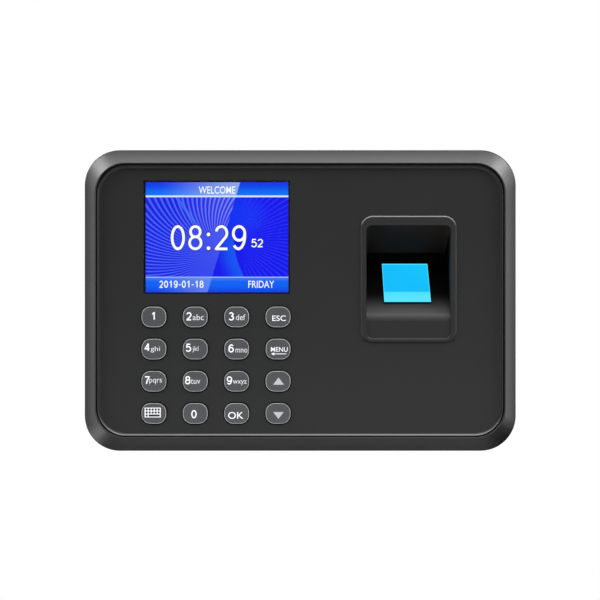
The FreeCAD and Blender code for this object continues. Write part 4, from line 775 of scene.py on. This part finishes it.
def bar(x, y, width, height):
    """The corners of an upright rectangle round a centre."""
    return [
        (x - width / 2, y - height / 2),
        (x + width / 2, y - height / 2),
        (x + width / 2, y + height / 2),
        (x - width / 2, y + height / 2),
    ]


def rounded_ring(width, height, radius, tube):
    """A round bead that follows a rounded rectangle."""
    segments = 10
    path = []
    for quarter, (sx, sy) in enumerate([(1, 1), (-1, 1), (-1, -1), (1, -1)]):
        for i in range(segments + 1):
            angle = (quarter + i / segments) * math.pi / 2
            x = sx * (width / 2 - radius) + radius * math.cos(angle)
            y = sy * (height / 2 - radius) + radius * math.sin(angle)
            path.append((Vector((x, y, 0)), Vector((math.cos(angle), math.sin(angle), 0))))
    shape = bmesh.new()
    sides = 8
    rings = []
    for point, outward in path:
        ring = []
        for j in range(sides):
            turn = j * 2 * math.pi / sides
            offset = outward * math.cos(turn) + Vector((0, 0, 1)) * math.sin(turn)
            ring.append(shape.verts.new(point + offset * tube))
        rings.append(ring)
    for i, ring in enumerate(rings):
        following = rings[(i + 1) % len(rings)]
        for j in range(sides):
            k = (j + 1) % sides
            shape.faces.new((ring[j], following[j], following[k], ring[k]))
    for face in shape.faces:
        face.smooth = True
    bmesh.ops.recalc_face_normals(shape, faces=shape.faces)
    mesh = bpy.data.meshes.new("ring")
    shape.to_mesh(mesh)
    shape.free()
    return mesh


def arc(x, y, across, up, start, end):
    """Points along an ellipse, in degrees."""
    steps = max(4, round(abs(end - start) / 15))
    angles = [math.radians(start + (end - start) * i / steps) for i in range(steps + 1)]
    return [(x + across * math.cos(a), y + up * math.sin(a)) for a in angles]


def half_turn(path):
    """The same strokes upside down."""
    return [(1 - x, 1 - y) for x, y in path]


# The strokes of each sign in a box one unit wide and one high.
SIX = [arc(0.5, 0.31, 0.5, 0.31, 0, 360), arc(0.56, 0.4, 0.56, 0.6, 180, 48)]
STROKES = {
    "0": [arc(0.5, 0.5, 0.5, 0.5, 0, 360)],
    "1": [[(0.12, 0.76), (0.6, 1.0), (0.6, 0.0)]],
    "2": [arc(0.49, 0.71, 0.47, 0.29, 165, -38) + [(0.02, 0.0), (1.0, 0.0)]],
    "3": [arc(0.46, 0.76, 0.42, 0.24, 155, -90), arc(0.46, 0.27, 0.52, 0.27, 90, -155)],
    "4": [[(0.74, 0.0), (0.74, 1.0), (0.0, 0.3), (1.0, 0.3)]],
    "5": [[(0.93, 1.0), (0.2, 1.0), (0.09, 0.53)], arc(0.47, 0.33, 0.53, 0.33, 143, -155)],
    "6": SIX,
    "7": [[(0.0, 1.0), (1.0, 1.0), (0.55, 0.5), (0.36, 0.0)]],
    "8": [arc(0.5, 0.765, 0.42, 0.235, 0, 360), arc(0.5, 0.27, 0.5, 0.27, 0, 360)],
    "9": [half_turn(path) for path in SIX],
    "-": [[(0.2, 0.42), (0.8, 0.42)]],
}


def disc(x, y, radius):
    """The corners of a small disc."""
    corners = 12
    turns = [i * 2 * math.pi / corners for i in range(corners)]
    return [(x + radius * math.cos(a), y + radius * math.sin(a)) for a in turns]


NARROW = {":": 0.5, "-": 0.68}  # share of a digit's advance
COLON_HEIGHTS = (0.13, -0.42)
COLON_DOT = 0.72  # radius, as a share of the stroke


def digit_shapes(text, height, width, stroke, advance):
    """Flat outlines of a row of digits, centred on the origin."""
    shapes = []
    shares = [NARROW.get(sign, 1) for sign in text]
    middle = -sum(shares) * advance / 2
    for sign, share in zip(text, shares):
        middle += share * advance / 2
        left = middle - width / 2
        middle += share * advance / 2
        if sign == ":":
            for dot in COLON_HEIGHTS:
                shapes.append(disc(left + width / 2, height * dot, stroke * COLON_DOT))
            continue
        for path in STROKES[sign]:
            points = [
                Vector((
                    left + stroke / 2 + x * (width - stroke),
                    (y - 0.5) * (height - stroke),
                ))
                for x, y in path
            ]
            for start, end in zip(points, points[1:]):
                side = (end - start).normalized().orthogonal() * stroke / 2
                shapes.append([start + side, start - side, end - side, end + side])
            for joint in points[1:-1]:
                shapes.append(disc(joint.x, joint.y, stroke / 2))
    return shapes


INK = 0.04 * MM
DIGIT = 3.35 * MM
DIGIT_WIDTH = 0.66 * DIGIT
DIGIT_STROKE = 0.155 * DIGIT
DIGIT_LIFT = 0.25
KEYBOARD_PLACE = (-0.45, 0.4)
KEYBOARD_PITCH = 1.2
EDGE_SIZE = (9.6 * MM, 7.9 * MM, 3.45 * MM)
EDGE_BEAD = 0.11 * MM
EDGE_SINK = 0.1 * MM

# The digit on a key, with its shift to the right and up, in mm.
KEY_DIGITS = {
    "key_1": ("1", 0.0, 0.1),
    "key_2": ("2", -2.5, 0.0),
    "key_3": ("3", -2.1, 0.0),
    "key_4": ("4", -2.65, 0.45),
    "key_5": ("5", -2.7, 0.3),
    "key_6": ("6", -2.2, 0.05),
    "key_7": ("7", -2.7, 0.15),
    "key_8": ("8", -3.0, 0.2),
    "key_9": ("9", -2.9, 0.1),
    "key_0": ("0", -0.5, -0.5),
}
# The letters on a key: text, overall height, stretch, and shift to the right and up, in mm.
KEY_LETTERS = {
    "key_2": ("abc", 2.35, 1.0, 1.2, -0.1),
    "key_3": ("def", 2.35, 0.9, 1.6, -0.1),
    "key_esc": ("ESC", 2.2, 1.13, 0.4, -0.5),
    "key_4": ("ghi", 2.5, 1.25, 0.6, -0.1),
    "key_5": ("jkl", 2.5, 1.0, 0.1, -0.05),
    "key_6": ("mno", 1.55, 0.83, 1.95, -0.6),
    "key_menu": ("MENU", 1.85, 0.96, 0.5, -0.1),
    "key_7": ("pqrs", 2.2, 0.95, 0.7, -0.1),
    "key_8": ("tuv", 1.95, 0.85, 0.1, -0.05),
    "key_9": ("wxyz", 2.05, 0.88, 1.25, -0.6),
    "key_ok": ("OK", 2.75, 1.1, -0.35, -0.75),
}


def key_centre(name):
    """The middle of a key's face."""
    low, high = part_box(name)
    return (low.x + high.x) / 2, low.y, (low.z + high.z) / 2


def key_shapes(name):
    """Corners of the shapes printed on the keys that carry a sign, in millimetres."""
    if name == "key_up":
        return [[(-2.0, -1.35), (2.4, -1.35), (0.2, 1.55)]]
    if name == "key_down":
        return [[(-1.95, 0.6), (0.15, -2.15), (2.25, 0.6)]]
    if name == "key_menu":
        return [bar(0.65, -1.9, 5.3, 0.28), [(-2.8, -1.9), (-1.5, -2.5), (-1.5, -1.3)]]
    if name == "key_input":
        return keyboard_sign(*KEYBOARD_PLACE)
    return []


def keyboard_holes(x, y):
    """Corners of the dark holes in the keyboard sign, in millimetres."""
    pitch = KEYBOARD_PITCH
    hole = 0.82
    holes = [bar(x + i * pitch, y + j * pitch, hole, hole) for i in range(-2, 3) for j in (0, 1)]
    holes += [bar(x + i * pitch, y - pitch, hole, hole) for i in (-2, 2)]
    return holes + [bar(x, y - pitch, 2 * pitch + hole, hole)]


def keyboard_sign(x, y):
    """A small keyboard: a plate with two rows of five holes, and a row with a long one."""
    wide = 6.5
    tall = 3.9
    pitch = KEYBOARD_PITCH
    hole = 0.84
    rows = [pitch, 0.0, -pitch]
    spans = [(-wide / 2, -2 * pitch - hole / 2)]
    spans += [(i * pitch + hole / 2, (i + 1) * pitch - hole / 2) for i in range(-2, 2)]
    spans += [(2 * pitch + hole / 2, wide / 2)]
    last = [spans[0], spans[1], spans[5]]
    border = tall / 2 - pitch - hole / 2
    shapes = [bar(x, y + side * (tall - border) / 2, wide, border) for side in (-1, 1)]
    shapes += [bar(x, y + side * pitch / 2, wide, pitch - hole) for side in (-1, 1)]
    for row, parts in zip(rows, (spans, spans, last)):
        shapes += [bar(x + (a + b) / 2, y + row, b - a, hole) for a, b in parts]
    return shapes


def in_metres(outlines):
    """The same outlines, drawn in millimetres, in metres."""
    return [[(x * MM, y * MM) for x, y in outline] for outline in outlines]


def make_keys():
    """The printed legend and the painted highlight bead round the edge of every key."""
    ink = legend_ink("legend_ink", 1.0)
    soft_ink = legend_ink("letter_ink", 0.85)
    plain_ink = legend_ink("shape_ink", 0.62)
    dark_ink = legend_ink("hole_ink", 0.02)
    edge = key_rim_highlight()
    ring = rounded_ring(*EDGE_SIZE, EDGE_BEAD)
    for name in KEYS:
        body = name + "_body"
        x, y, z = key_centre(name)
        meshes = []
        if name in KEY_DIGITS:
            text, right, up = KEY_DIGITS[name]
            shapes = digit_shapes(text, DIGIT, DIGIT_WIDTH, DIGIT_STROKE, 0)
            place = (x + right * MM, y, z + (up + DIGIT_LIFT) * MM)
            meshes.append(polygon_mesh(shapes, INK, place))
        if name in KEY_LETTERS:
            text, height, stretch, right, up = KEY_LETTERS[name]
            middle = (x + right * MM, y - INK / 2, z + up * MM)
            weight = LETTER_WEIGHT if text.isupper() else 0
            letters = lettering(text, height * MM, middle, INK, weight, stretch)
            if text.isupper():
                meshes.append(letters)
            else:
                add_piece("letters_" + name, letters, soft_ink, body)
        outlines = in_metres(key_shapes(name))
        if outlines:
            meshes.append(polygon_mesh(outlines, INK, (x, y, z)))
        legend = plain_ink if name in ("key_up", "key_down") else ink
        add_piece("legend_" + name, joined(meshes), legend, body)
        if name == "key_input":
            holes = polygon_mesh(in_metres(keyboard_holes(*KEYBOARD_PLACE)), INK, (x, y, z))
            add_piece("holes_" + name, holes, dark_ink, body)
        # Painted highlight: a light bead sunk round each key's face.
        edge_mesh = ring.copy()
        edge_mesh.transform(upright(x, y + EDGE_SINK, z))
        add_piece("edge_" + name, edge_mesh, edge, body)


def on_screen(u, v, lift):
    """A point on the lit picture, as shares of its width and height."""
    return (
        SCREEN_LOW.x + u * SCREEN_SIZE.x,
        GLASS_LOW.y - lift,
        SCREEN_LOW.z + v * SCREEN_SIZE.z,
    )


def make_picture():
    """The lit picture on the display glass, with its clock and dates."""
    thickness = 0.05 * MM
    width, height = SCREEN_SIZE.x, SCREEN_SIZE.z
    picture = polygon_mesh([bar(0, 0, width, height)], thickness, on_screen(0.5, 0.5, 0))
    add_piece("screen_picture", picture, screen_picture(), "terminal")
    white = lit_text()
    lift = thickness + INK
    outline_growth = 0.008 * width
    # text, place as shares of the screen, height, width, stroke, advance, and dark outline
    numbers = [
        ("08:29", 0.44, 0.497, 0.228 * height, 0.1, 0.019, 0.1225, True),
        ("52", 0.7815, 0.4475, 0.077 * height, 0.04, 0.0085, 0.044, True),
        ("2019-01-18", 0.2505, 0.0735, 0.066 * height, 0.0282, 0.007, 0.0338, False),
    ]
    outlines = []
    shadows = []
    for text, u, v, tall, wide, stroke, advance, outlined in numbers:
        sizes = (tall, wide * width, stroke * width)
        shapes = digit_shapes(text, *sizes, advance * width)
        outlines.append(polygon_mesh(shapes, INK, on_screen(u, v, lift)))
        if outlined:
            grown = [size + outline_growth for size in sizes]
            shapes = digit_shapes(text, *grown, advance * width)
            shadows.append(polygon_mesh(shapes, INK, on_screen(u, v, thickness)))
    for text, share, u, v, stretch in [("WELCOME", 0.068, 0.50, 0.93, 0.72),
                                       ("FRIDAY", 0.064, 0.81, 0.0735, 0.78)]:
        centre = on_screen(u, v, lift)
        outlines.append(lettering(text, share * height, centre, INK, LETTER_WEIGHT, stretch))
    add_piece("screen_text", joined(outlines), white, "terminal")
    add_piece("screen_shadow", joined(shadows), text_shadow(), "terminal")


make_camera()
make_world()
make_floor()
for lamp_settings in LAMPS:
    make_lamp(*lamp_settings)
paint_nodes()
make_keys()
make_picture()
